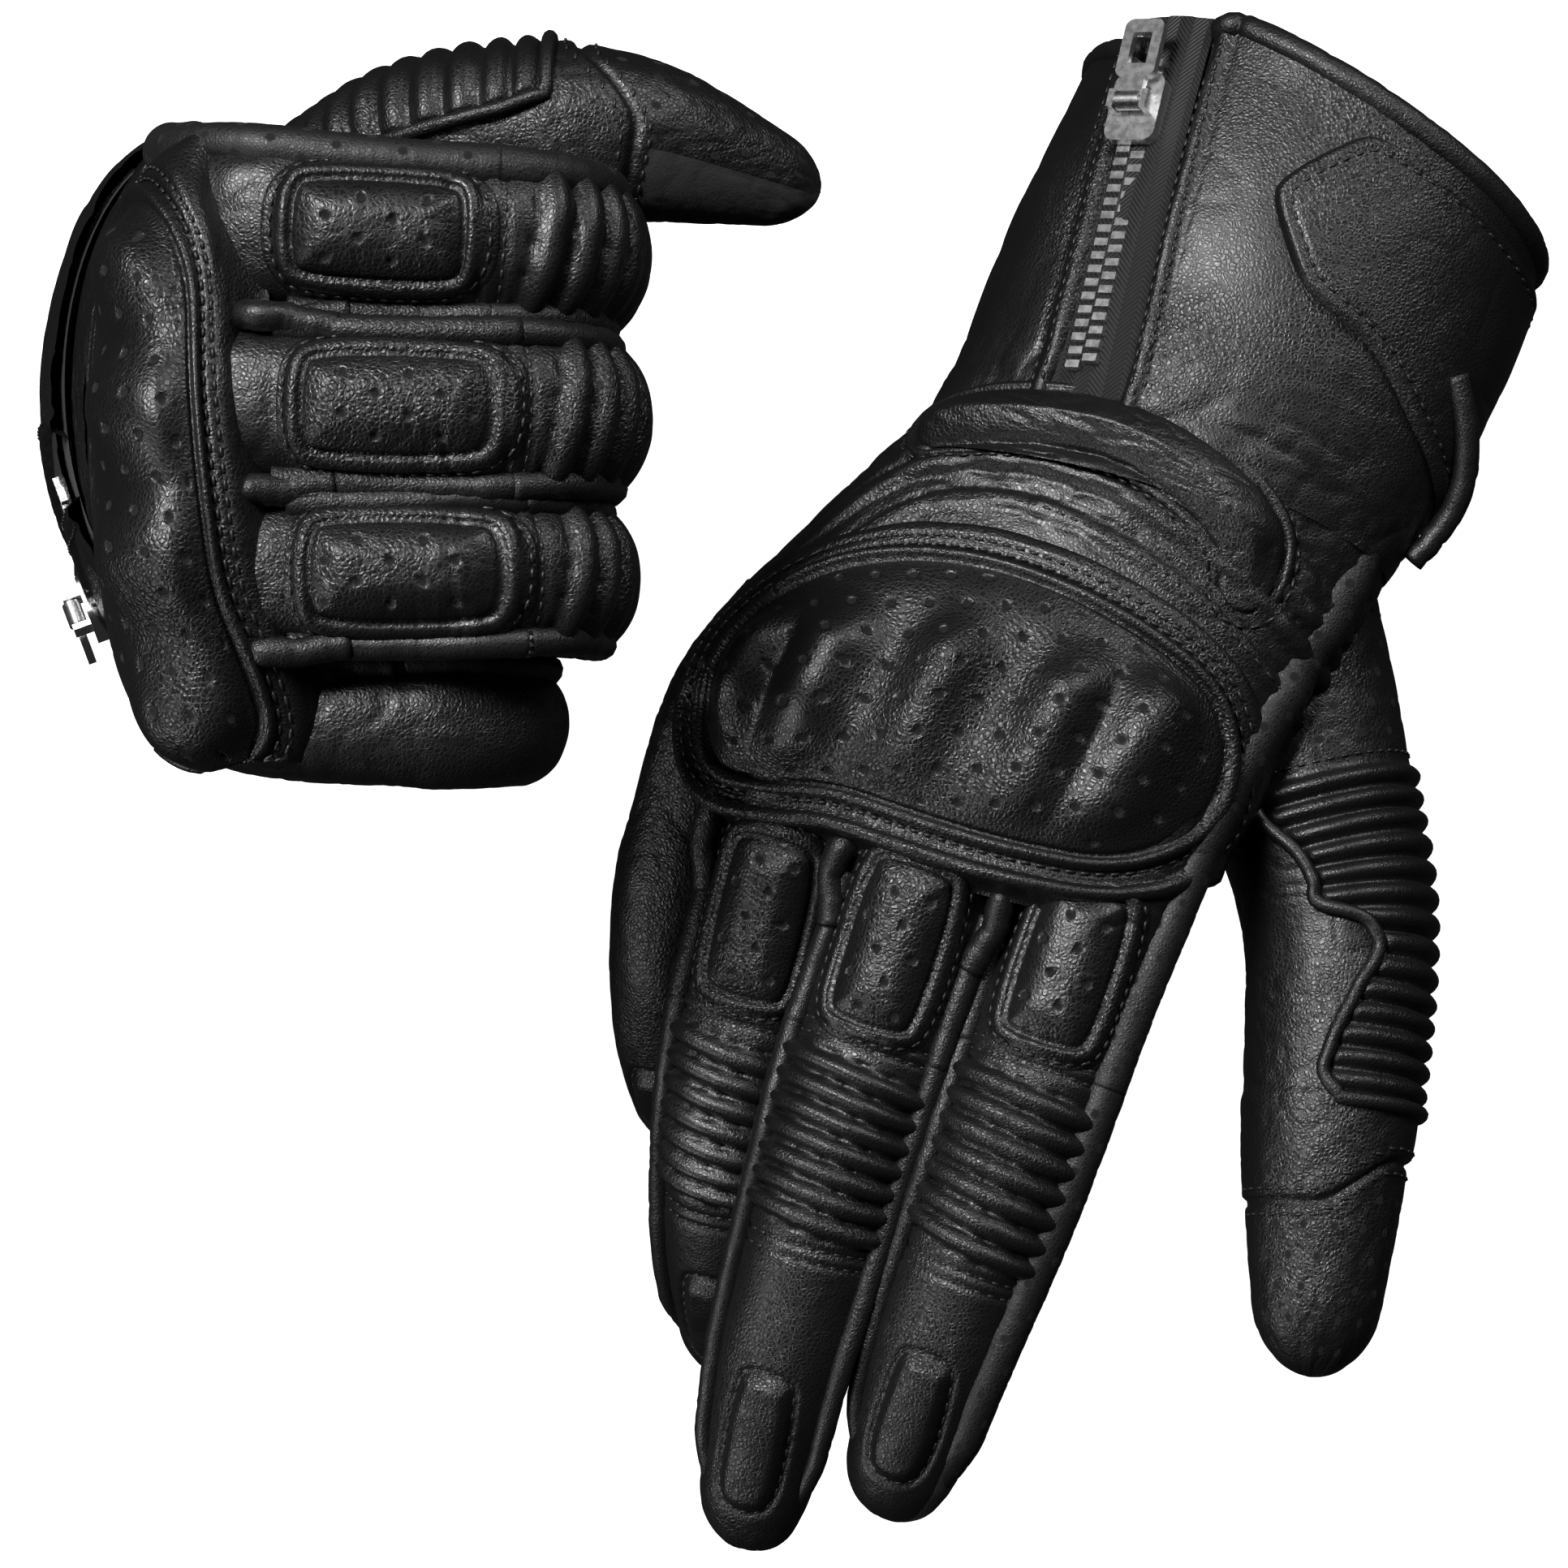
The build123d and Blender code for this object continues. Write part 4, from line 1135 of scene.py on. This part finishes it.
    # ---- cuff
    def make_cuff(self) -> None:
        """The cuff with its rolled binding, the closure flap and the little loop."""
        plan, noise = self.plan, self.noise
        m = np.array(plan.mouth, float)
        axes = axes_of(plan.mouth_turns[0], plan.mouth_turns[1])
        mid = (m + np.array([1, 0, 0])) / 2 + np.array([0, 0, 0.5])
        between = np.stack([unit(a + b) for a, b in zip(np.eye(3), axes)])
        spine = knotted([-66, -33, 0, 5], [m, mid, (1, 0, 0), (2, 5, 0)], [axes, between, np.eye(3), np.eye(3)])
        section = Section([-66, -33, 0, 5], [42.6, 42.4, 41.2, 41], [42.6, 42.4, 41.2, 41], [31, 28.5, 23.8, 23], [31, 28, 23.5, 23], [2.0] * 4)
        skin = Skin(spine, section)
        self.cuff = skin
        zip_line = Track(((14.0, 2.0), (26.0, -66.0)), rounds=0)

        def relief(s: Array, phi: Array, x: Array) -> Array:
            top = ramp(np.abs(phi), 96, 80)
            d, _ = zip_line.distance(x + 0.4, s)
            h = 0.6 * noise.swell(phi / 22, s / 20) + 0.22 * noise.crease(phi / 26, s / 13)
            h += 0.5 * ramp(s, -14, 0) * noise.crease(phi / 14 + 5, s / 4)
            h += top * (-2.4 * ramp(np.abs(d), 6.4, 5.4) + 0.7 * roll_profile(np.abs(d) - 7.6, 1.3) - 0.35 * hump(np.abs(d) - 9.6, 0.8))
            return h + 0.4 * ramp(s, -58, -66)

        skin.relief = relief
        under = lambda s, phi: np.abs(phi) > 118
        cuff = self.maker.skin("cuff_leather", skin, -65.5, 5, Finish.SOFT, 0.7, 300, other=(Finish.LEATHER, under), close_end=False, mouth=self.mouth_dip)
        self.settle(cuff, "cuff_shell")
        inner = Skin(spine, section, lambda s, phi, x: -2.2 + 0 * s)
        lining = self.maker.skin("cuff_lining", inner, -65.5, 5, Finish.SUEDE, 2.0, 96, close_end=False, inward=True, mouth=self.mouth_dip)
        self.settle(lining)
        turn = np.linspace(-180, 180, 260)
        at = -65.0 + self.mouth_dip(turn)
        edge = skin.at(at, turn)
        inward = unit(spine.at(at)[0] - edge)
        binding = self.maker.tube("binding", edge + inward * 1.3, 2.35, Finish.PIPING, 14, 0.08, 3, True)
        self.settle(binding, "cuff_binding")
        self.make_flap()

    def mouth_dip(self, phi: Array) -> Array:
        """How far the mouth's edge is drawn in, towards the hand, round the cuff."""
        return (0.0 if self.plan.folded else 8.5) * ramp(phi, 20, 42) * ramp(phi, 170, 110)

    def cuff_top(self, x: Array, y: Array, lift: Array = 0.0) -> Array:
        """Points over the cuff; x is measured round it from the middle of its top."""
        phi = self.cuff_turn(x)
        return self.cuff.at(y, phi, lift)

    def cuff_turn(self, x: Array) -> Array:
        """Angle round the cuff for a distance round it."""
        phi = np.linspace(-180, 180, 361)
        p = self.cuff.bare(np.full(361, -35.0), phi)
        gap = np.r_[0, np.cumsum(np.linalg.norm(np.diff(p, axis=0), axis=1))]
        return np.interp(x, gap - gap[180], phi)

    def make_flap(self) -> None:
        """The closure flap, with its stitched edge."""
        noise = self.noise
        corners = ((-1.5, -42), (-12.5, -58.5), (-30, -59), (-60, -57), (-88, -51), (-96, -38), (-88, -22), (-66, -9), (-52, -12), (-38, -19), (-27, -26.5), (-12.5, -29.5))
        outline = Track(trimmed(corners, 2.2), True, 2)

        def height(d: Array, x: Array, y: Array) -> Array:
            lip = 1.9 * np.clip((0.9 - d) / 0.9, 0, 1) ** 0.5
            return np.where(d < 0, 1.95 + 0.3 * noise.swell(x / 9, y / 9), lip) - 0.3 * hump(d + 1.9, 0.7)

        flap = Patch(outline, (-44.0, -38.0), lambda x, y, h: self.cuff_top(x, y, h + 0.15), height, 0.9)
        made = flap.build(self.maker, "flap", Finish.SOFT, 0.6)
        self.settle(made, "cuff_strap", body="strap")
        side = 1 if self.turns_left(outline) else -1
        on = lambda x, y, up: self.cuff_top(x, y, 1.9 + up)
        self.settle(self.maker.stitches("flap_stitching", [sew(on, outline.moved(side * 1.9), 2.6, 1.5)]), body="strap")
        if self.plan.folded:
            return
        run = Track(((-42, -31), (-49, -22), (-55, -9), (-57, 0)), rounds=2)
        p = run.at(np.linspace(0, run.length, 40))
        lift = 1.4 + 2.4 * np.sin(np.linspace(0, math.pi, 40))
        self.settle(self.maker.tube("loop", self.cuff_top(p[:, 0], np.minimum(p[:, 1], 4.5), lift), 2.1, Finish.PIPING, 10, 0.1, 9))

    # ---- zip
    def make_zip(self) -> None:
        """The woven tape; the metal comes from the frame."""
        line = Track(((14.4, 0.5), (26.0, -63.5)), rounds=0)
        s = np.linspace(0, line.length, 60)
        p = line.at(s)
        side = np.array([-line.tangents[0][1], line.tangents[0][0]])
        cols = np.linspace(-6.6, 6.6, 21)
        flat = (p[:, None] + side * cols[None, :, None]).reshape(-1, 2)
        rise = 0.9 + 0.25 * (np.abs(cols) < 2.5)
        lift = np.tile(rise, len(p))
        phi = self.cuff.top_angle(flat[:, 1], flat[:, 0])
        verts = self.cuff.bare(flat[:, 1], phi) + self.cuff.normal(flat[:, 1], phi) * (lift - 2.0)[:, None]
        plan = np.stack([np.tile(cols, len(p)), np.repeat(s, len(cols))], 1)
        tape = self.maker.mesh("tape", verts, grid_faces(len(p), len(cols), False), Finish.TAPE, None, plan)
        self.settle(tape, "zip_tape")
        rows = []
        for gap in (-9.4, -7.4, 7.4, 9.4):
            row = Track([tuple(q + side * gap) for q in (p[2], p[-4])], rounds=0)
            rows.append(sew(lambda x, y, up: self.cuff.at(y, self.cuff.top_angle(y, x), up), row, 2.2, 1.5, 0.1))
        self.settle(self.maker.stitches("zip_stitching", rows))
        for node in ("zip_teeth", "zip_slider", "zip_pull"):
            shown = frame["nodes"][self.plan.prefix + node]
            edges = shown.modifiers.new("edges", "BEVEL")
            edges.width, edges.segments = 0.0002, 2
            shown.data.materials.clear()
            shown.data.materials.append(Finish.METAL.material())

    # ---- thumb
    def make_thumb(self) -> None:
        """The thumb with its ribbed panel, S-shaped piping and pricked tip."""
        plan, noise = self.plan, self.noise
        p = [np.asarray(q, float) for q in plan.thumb]
        start = p[0] - unit(p[1] - p[0]) * 14
        spine = Spine([start, *p], plan.thumb_up, (1.0, 12.0, 12.0), -14.0)
        joint = [0.0] + list(np.cumsum([np.linalg.norm(b - a) for a, b in zip(p, p[1:])]))
        r = plan.thumb_radii
        knots = [-14, joint[0], joint[1], joint[2], joint[3]]
        size = [r[0] * 1.08, r[0] * 1.06, r[1], r[2] * 0.99, r[3] * 0.98]
        flatter = [v * 0.94 for v in size]
        section = Section(knots, flatter, flatter, size, size, [2.1] * 5, r[3] * 1.25, joint[3])
        skin = Skin(spine, section)
        first, last, count = plan.thumb_ribs
        pitch = (last - first) / count
        if plan.folded:
            border = ([first - 3, first, last - 6, last], [72, 76, 82, 74])
        else:
            border = ([20, 30, 36, 42, 46, 48.5, 51, 60, 70, 74, 77], [116, 110, 97, 91, 88, 66, 58, 68, 82, 84, 74])

        def relief(s: Array, phi: Array, x: Array) -> Array:
            edge = curve(*border, s)
            ribbed = band(s, first, last, 0.6) * ramp(phi, edge - 1, edge - 7) * ramp(phi, -92, -84)
            wave = np.abs(np.sin(np.pi * (s - first) / pitch)) ** 0.62
            h = ribbed * (2.1 * wave - 0.7) + 0.3 * noise.swell(phi / 20, s / 9)
            h += (1 - ribbed) * 0.16 * noise.crease(phi / 17 + 2, s / 3.4)
            seam = s - (plan.thumb_seam - 8 * ramp(phi, 90, 20))
            h += -0.7 * hump(seam, 1.1) + 0.5 * ramp(seam, 0, -1.5) * band(s, last + 1, 200, 2)
            return h - 0.5 * hump(phi + 100, 4.5) * band(s, first, 200, 2)

        def pricked(s: Array, phi: Array, x: Array) -> Array:
            reach = 0.24
            tip = ramp(s - (plan.thumb_seam - 8 * ramp(phi, 90, 20)), 1.5, 3.0)
            panel = ramp(s, first - 1.0, first - 3.0)
            side = ramp(phi, 140, 130) * ramp(phi, -60, -40)
            return prick(phi * reach, s, 5.6, 0.66) * np.maximum(tip, panel) * side

        skin.relief, skin.holes = relief, pricked
        under = (lambda s, phi: (phi > 100) & (s > plan.thumb_seam + 2)) if plan.folded else (lambda s, phi: (phi < -98) & (s > 30))
        a = self.maker.skin("thumb_leather", skin, -14, joint[3], Finish.SOFT, 0.5, 190, other=(Finish.SUEDE, under))
        middle = joint[1]
        ends = [spine.at(np.array(v))[0] for v in (middle - 13.0, middle + 13.0)]
        self.bend(a, "hand", "thumb_end", ends[0], ends[1], "thumb_base", "thumb_bellows", "thumb_tip")
        lo = border[0][0] + 1.0
        s = np.linspace(lo, last + 0.8, 110)
        phi = curve(*border, s)
        tail = np.linspace(float(phi[-1]), -84, 30)[1:]
        path = np.vstack([skin.bare(s, phi) + skin.normal(s, phi) * 0.9, skin.bare(np.full(29, last + 1.0), tail) + skin.normal(np.full(29, last + 1.0), tail) * 0.8])
        piping = self.maker.tube("thumb_piping", path, 1.15, Finish.PIPING, 10, 0.12, 4)
        self.bend(piping, "hand", "thumb_end", ends[0], ends[1])
        rows = []
        for gap in (-2.0, 2.0):
            turn = np.arange(-60, 150, 11.0)
            base = plan.thumb_seam - 8 * ramp(turn, 90, 20) + gap
            rows.append((skin.at(base, turn, 0.1), skin.at(base, turn + 7.0, 0.1)))
        turn = np.arange(-80, 108, 8.0)
        rows.append((skin.at(0 * turn + first - 1.7, turn, 0.1), skin.at(0 * turn + first - 1.7, turn + 5.0, 0.1)))
        stitches = self.maker.stitches("thumb_stitching", rows)
        self.bend(stitches, "hand", "thumb_end", ends[0], ends[1])

    # ---- fingers
    def shift(self, f: FingerPlan) -> float:
        """How far the leather of a closed finger has slid towards the tip."""
        return {"index": 4.5, "middle": 8.5, "ring": 5.5}.get(f.name, 0.0) if self.plan.folded else 0.0

    def finger_skin(self, f: FingerPlan) -> Skin:
        """The skin of a finger."""
        shift = self.shift(f)
        splay, knuckle, spread, middle, end = self.plan.bends[f.name]
        root = np.array(f.root, float)
        first = axes_of(0, -knuckle).T @ axes_of(splay, 0).T
        second = first @ axes_of(0, -middle).T @ axes_of(spread, 0).T
        third = second @ axes_of(0, -end).T
        ahead = np.array([0, 1.0, 0])
        joints = [root, root + first @ ahead * f.lengths[0]]
        joints.append(joints[-1] + second @ ahead * f.lengths[1])
        joints.append(joints[-1] + third @ ahead * f.lengths[2])
        start = root - ahead * 20
        window = 11.5 if self.plan.folded else 12.5
        spine = Spine([start, *joints], (0, 0, 1), (window, window, 8.0), -20.0)
        a, b = f.lengths[0], f.lengths[0] + f.lengths[1]
        total = sum(f.lengths)
        r = f.radii
        knots = [-20, 0, 16, a - 8, a, b, total - 6]
        pinky = f.name == "pinky"
        left = [f.beside[0], f.beside[0], f.beside[0] * 0.98, r[1] * 1.02, r[1], r[2], r[3]]
        right = [f.beside[1], f.beside[1], f.beside[1] * 0.97, r[1] * 1.02, r[1], r[2], r[3]]
        if pinky:
            right[:2] = [3.0, 8.0]
        first_top = 8.0 if pinky else f.crown - 6.0 if self.plan.folded else f.crown + 2.0
        top = [first_top, f.crown - (2.5 if self.plan.folded else 0.0), r[0] * 0.98, r[1] * 0.96, r[1] * 0.98, r[2] * 0.95, r[3] * 0.94]
        under = [15, 14, r[0], r[1] * 0.97, r[1] * 0.95, r[2] * 0.95, r[3] * 0.95]
        power = [2.8, 2.8, 2.5, 2.3, 2.2, 2.15, 2.1]
        section = Section(knots, right, left, top, under, power, r[3] * 1.2, total + 1.0)
        skin = Skin(spine, section)
        noise = Crumple(f.seed)
        tip = Track(((-5.2, b + 3), (-5.6, total - 14), (-3.6, total - 8.5), (3.6, total - 8.5), (5.6, total - 14), (5.2, b + 3), (3.6, b + 0.5), (-3.6, b + 0.5)), True, 2)

        def relief(s: Array, phi: Array, x: Array) -> Array:
            dorsal = ramp(np.abs(phi), 70, 60)
            h = 0.28 * noise.swell(phi / 24, s / 8)
            tight = 0.9 * band(s, -20, 12, 4) + 0.8 * band(s, f.seam - 4, f.seam, 3) + 0.35
            h += 0.2 * tight * noise.crease(phi / 30, s / 2.8)
            if f.ribs:
                lo, hi, count = f.ribs
                sway = s + 0.5 * noise.swell(phi / 60, s / 12) + 1.2 * np.sin(np.radians(phi) * 1.1) - shift
                wave = np.abs(np.sin(np.pi * (sway - lo) / ((hi - lo) / count))) ** 0.6
                h += band(sway, lo, hi, 0.4) * ramp(np.abs(phi), 64, 58) * (2.7 * wave - 1.0)
                t = s - shift
                h -= 0.5 * dorsal * (hump(t - f.seam, 0.8) + hump(t - f.seam + 2.2, 0.7) + hump(t - hi - 2.4, 0.8) + hump(t - hi - 4.6, 0.7))
            if not self.plan.folded or f.name != "pinky":
                d, _ = tip.distance(x, s)
                d = d if self.turns_left(tip) else -d
                h += dorsal * (1.3 * ramp(d, 0.2, 2.6) - 0.7 * hump(d, 0.9))
            side = 0.6 * ramp(np.abs(phi), 70, 84) * ramp(np.abs(phi), 125, 112) * ramp(s, 14, 24)
            return h - side

        def pricked(s: Array, phi: Array, x: Array) -> Array:
            side = band(np.abs(phi), 72, 104, 3) * ramp(s, 8, 14) * ramp(s, total - 10, total - 16)
            return prick(phi * 0.21 + 1.6, s, 6.4, 0.6) * side

        skin.relief, skin.holes = relief, pricked
        skin.tip_track = tip
        return skin

    def make_finger(self, f: FingerPlan) -> None:
        """One finger: two lengths of leather, piping along its sides, its pad and its stitching."""
        skin = self.finger_skin(f)
        shift = self.shift(f)
        spine, mk, cut = skin.spine, self.maker, f.seam - 1.1 + shift
        total, a = sum(f.lengths), f.lengths[0]
        knuckle = [spine.at(np.array(v))[0] for v in (-11.0, 11.0)]
        middle = [spine.at(np.array(v))[0] for v in (a - 11.0, a + 11.0)]
        root, end = f.name + "_root", f.name + "_end"
        under = lambda s, phi: np.abs(phi) > 116
        outer = lambda s, phi: (np.abs(phi) > 116) | ((phi < -48) & (s > 78))
        first = mk.skin(f.name + "_upper", skin, -20, cut, Finish.SOFT, 0.5, 170, other=(Finish.SUEDE, under), close_end=False)
        self.bend(first, "hand", root, knuckle[0], knuckle[1], f.name + "_proximal")
        second = mk.skin(f.name + "_lower", skin, cut - 0.3, total + 1.0, Finish.SOFT, 0.5, 170, other=(Finish.SUEDE, outer if f.name == "index" else under))
        self.bend(second, root, end, middle[0], middle[1], f.name + "_bellows", f.name + "_distal")
        turned_to = 54.0 if self.plan.folded else 62.0
        for side, turn in (("near", -turned_to), ("far", turned_to)):
            if f.name == "pinky" and side == "far":
                continue
            strip = f.name == "index" and side == "near"
            for name, lo, hi in (("upper", -8.0 if strip else 13.0, cut + 0.5), ("lower", cut, total - 5.0)):
                s = np.linspace(lo, hi, int((hi - lo) / (0.5 if strip else 0.9)))
                phi = np.full(len(s), turn) + 2.5 * np.sin(s / 9 + f.seed)
                path = skin.bare(s, phi) + skin.normal(s, phi) * (0.5 - 2.4 * ramp(s, total - 20, total - 7) - (1.2 if strip else 0.0))[:, None]
                radius = (3.4 if strip else 2.3 if self.plan.folded else 2.0) - 0.45 * ramp(s, a, total) - 0.7 * ramp(s, total - 14, total - 5)
                finish = Finish.STRIP if strip else Finish.PIPING
                tube = mk.tube(f"{f.name}_{side}_{name}_piping", path, radius, finish, 36 if strip else 12, 0.05 if strip else 0.14, f.seed + (side == "far"))
                if name == "upper":
                    self.bend(tube, "hand", root, knuckle[0], knuckle[1])
                else:
                    self.bend(tube, root, end, middle[0], middle[1])
        upper, lower = [], []
        if f.ribs:
            for gap, rows in ((f.seam, lower), (f.seam - 2.2, upper), (f.ribs[1] + 2.4, lower), (f.ribs[1] + 4.6, lower)):
                turn = np.arange(-56, 56, 11.0)
                base = np.full(len(turn), gap + shift)
                rows.append((skin.at(base, turn, 0.05), skin.at(base, turn + 7.0, 0.05)))
        lower.append(sew(skin.on_top, skin.tip_track, 2.4, 1.6))
        if f.pad:
            upper.append(self.make_pad(f, skin))
        if upper:
            self.bend(mk.stitches(f.name + "_upper_stitching", upper), "hand", root, knuckle[0], knuckle[1])
        self.bend(mk.stitches(f.name + "_lower_stitching", lower), root, end, middle[0], middle[1])

    def make_pad(self, f: FingerPlan, skin: Skin) -> tuple[Array, Array]:
        """The pricked pad on a finger. Gives the ends of its stitches."""
        lo, hi = f.pad[0] + self.shift(f), f.pad[1] + self.shift(f)
        w, mid = 6.9, (lo + hi) / 2
        outline = Track(((-w, lo + 2), (-w, hi - 2), (-w + 2, hi), (w - 2, hi), (w, hi - 2), (w, lo + 2), (w - 2, lo), (-w + 2, lo)), True, 2)
        noise = Crumple(f.seed + 1)

        def height(d: Array, x: Array, y: Array) -> Array:
            inside = 0.7 + 2.3 * np.sqrt(ramp(-d, -0.2, 5.5)) + 0.08 * noise.crease(x / 4, y / 4)
            outside = 0.55 + soft_side("pad", d) - 1.3 * ramp(d, 3.0, 4.4)
            return np.where(d < 0, inside, outside) - 0.45 * hump(d, 0.6)

        patch = Patch(outline, (0.0, mid), skin.on_top, height, 4.4)
        pad = patch.build(self.maker, f.name + "_knuckle_pad", Finish.PERFORATED, 0.4, lambda x, y: prick(x + 1.2, y, 5.4, 0.55))
        self.settle(pad, *([f.name + "_pad"]), body=f.name + "_root")
        side = -1 if self.turns_left(outline) else 1
        return sew(lambda x, y, up: skin.on_top(x, y, up + 0.5), outline.moved(side * 2.7), 2.2, 1.5)

    def make_strip(self) -> None:
        """The wide pricked roll along the seam between the hand and the thumb."""
        skin = self.finger_skin(FINGERS[0])
        s = np.linspace(1, 50, 70)
        side = self.hand.at(s, np.linspace(-70, -66, 70), -2.6)
        last = np.array([-6.0, -1.0, 4.0])
        on = skin.bare(last, np.full(3, -64.0)) + skin.normal(last, np.full(3, -64.0)) * -0.9
        if self.plan.folded:
            side = side[:44]
        knots = np.vstack([side[::6], on])
        gap = np.r_[0, np.cumsum(np.linalg.norm(np.diff(knots, axis=0), axis=1))]
        at = np.linspace(0, gap[-1], 220)
        path = np.stack([curve(gap, knots[:, k], at) for k in range(3)], -1)
        radius = 4.4 - 0.9 * ramp(at, gap[-1] - 26, gap[-1]) - 1.5 * ramp(at, 12, 0) - 2.2 * ramp(at, gap[-1] - 8, gap[-1])
        self.settle(self.maker.tube("side_strip", path, radius, Finish.STRIP, 48, 0.05, 17))

    def make_forks(self) -> None:
        """The rolled loops at the forks between the fingers."""
        for one, two in zip(FINGERS, FINGERS[1:]):
            a, b = self.finger_skin(one), self.finger_skin(two)
            s, turn = np.array([22.0, 18.0, 14.5]), np.full(3, 54.0 if self.plan.folded else 60.0)
            rise = (np.array([0.6, 1.2, 2.0]) if self.plan.folded else np.array([0.6, 1.6, 2.8]))[:, None]
            left = a.bare(s, turn) + a.normal(s, turn) * rise
            right = (b.bare(s, -turn) + b.normal(s, -turn) * rise)[::-1]
            back_dir = -unit(a.spine.at(np.array(14.0))[2] + b.spine.at(np.array(14.0))[2])
            lift_dir = unit(a.spine.at(np.array(14.0))[3] + b.spine.at(np.array(14.0))[3])
            width = float(np.linalg.norm(left[-1] - right[0]))
            turn = np.linspace(0, math.pi, 9)[1:-1]
            middle = [(left[-1] * (1 + math.cos(t)) + right[0] * (1 - math.cos(t))) / 2 + back_dir * math.sin(t) * max(6.0, width * 0.8) + lift_dir * math.sin(t) * 2.6 for t in turn]
            knots = np.vstack([left, middle, right])
            gap = np.r_[0, np.cumsum(np.linalg.norm(np.diff(knots, axis=0), axis=1))]
            s = np.linspace(0, gap[-1], 46)
            path = np.stack([curve(gap, knots[:, k], s) for k in range(3)], -1)
            self.settle(self.maker.tube(f"{one.name}_fork_loop", path, 2.3, Finish.PIPING, 14, 0.16, one.seed))


# ---------------------------------------------------------------- stage
class Studio:
    """Pale floor, soft lights and the camera over the pair."""

    HEIGHT = 740.0
    LENS = 97.0

    def build(self) -> None:
        """Makes the stage."""
        low = FRAME_BOX[0].z
        bpy.ops.object.select_all(action="DESELECT")
        bpy.ops.mesh.primitive_plane_add(size=6.0, location=(0, 0, low - 0.0006))
        floor = bpy.context.object
        floor.name = "floor"
        paint = Paint("floor")
        paint.set("Base Color", (0.6, 0.6, 0.6, 1))
        paint.set("Roughness", 0.9)
        paint.set("Specular IOR Level", 0.0)
        paint.set("Emission Color", (1, 1, 1, 1))
        paint.set("Emission Strength", 1.0)
        floor.data.materials.append(paint.material)
        floor.visible_glossy = False
        floor.visible_diffuse = False
        world = bpy.data.worlds.new("studio")
        bpy.context.scene.world = world
        world.use_nodes = True
        world.node_tree.nodes["Background"].inputs[0].default_value = (1, 1, 1, 1)
        world.node_tree.nodes["Background"].inputs[1].default_value = 0.02
        for name, place, size, power in (
            ("key", (-0.5, 0.55, 1.05), 0.34, 20.0),
            ("fill", (0.55, 0.8, 0.7), 0.34, 5.0),
            ("low", (-0.75, -0.45, 0.45), 0.34, 3.2),
        ):
            self.lamp(name, place, size, power)
        self.camera()

    def lamp(self, name: str, place: tuple[float, float, float], size: float, power: float) -> None:
        """One square soft light aimed at the pair."""
        data = bpy.data.lights.new(name, "AREA")
        data.shape, data.size, data.energy = "SQUARE", size, power
        obj = bpy.data.objects.new(name, data)
        obj.location = place
        obj.rotation_mode = "QUATERNION"
        obj.rotation_quaternion = (Vector(place) - Vector((0, 0, 0.07))).to_track_quat("Z", "Y")
        bpy.context.scene.collection.objects.link(obj)

    def camera(self) -> None:
        """The camera looks straight down."""
        axes = axes_of(*OPEN.turns)
        knuckle = np.array(OPEN.wrist) + np.array(FINGERS[0].root, float) @ axes
        shift = joint_place("open_index_knuckle") / MM - knuckle
        data = bpy.data.cameras.new("camera")
        data.lens, data.sensor_width = self.LENS, 36.0
        data.clip_start, data.clip_end = 0.01, 20.0
        obj = bpy.data.objects.new("camera", data)
        obj.location = (shift[0] * MM, shift[1] * MM, (self.HEIGHT + shift[2]) * MM)
        bpy.context.scene.collection.objects.link(obj)
        bpy.context.scene.camera = obj


def main() -> None:
    """Builds both gloves and the stage."""
    logging.basicConfig(level=logging.INFO)
    for plan in (OPEN, FIST):
        Glove(plan).build()
    Studio().build()
    bpy.context.scene.view_settings.view_transform = "Standard"


if __name__ == "__main__":
    main()
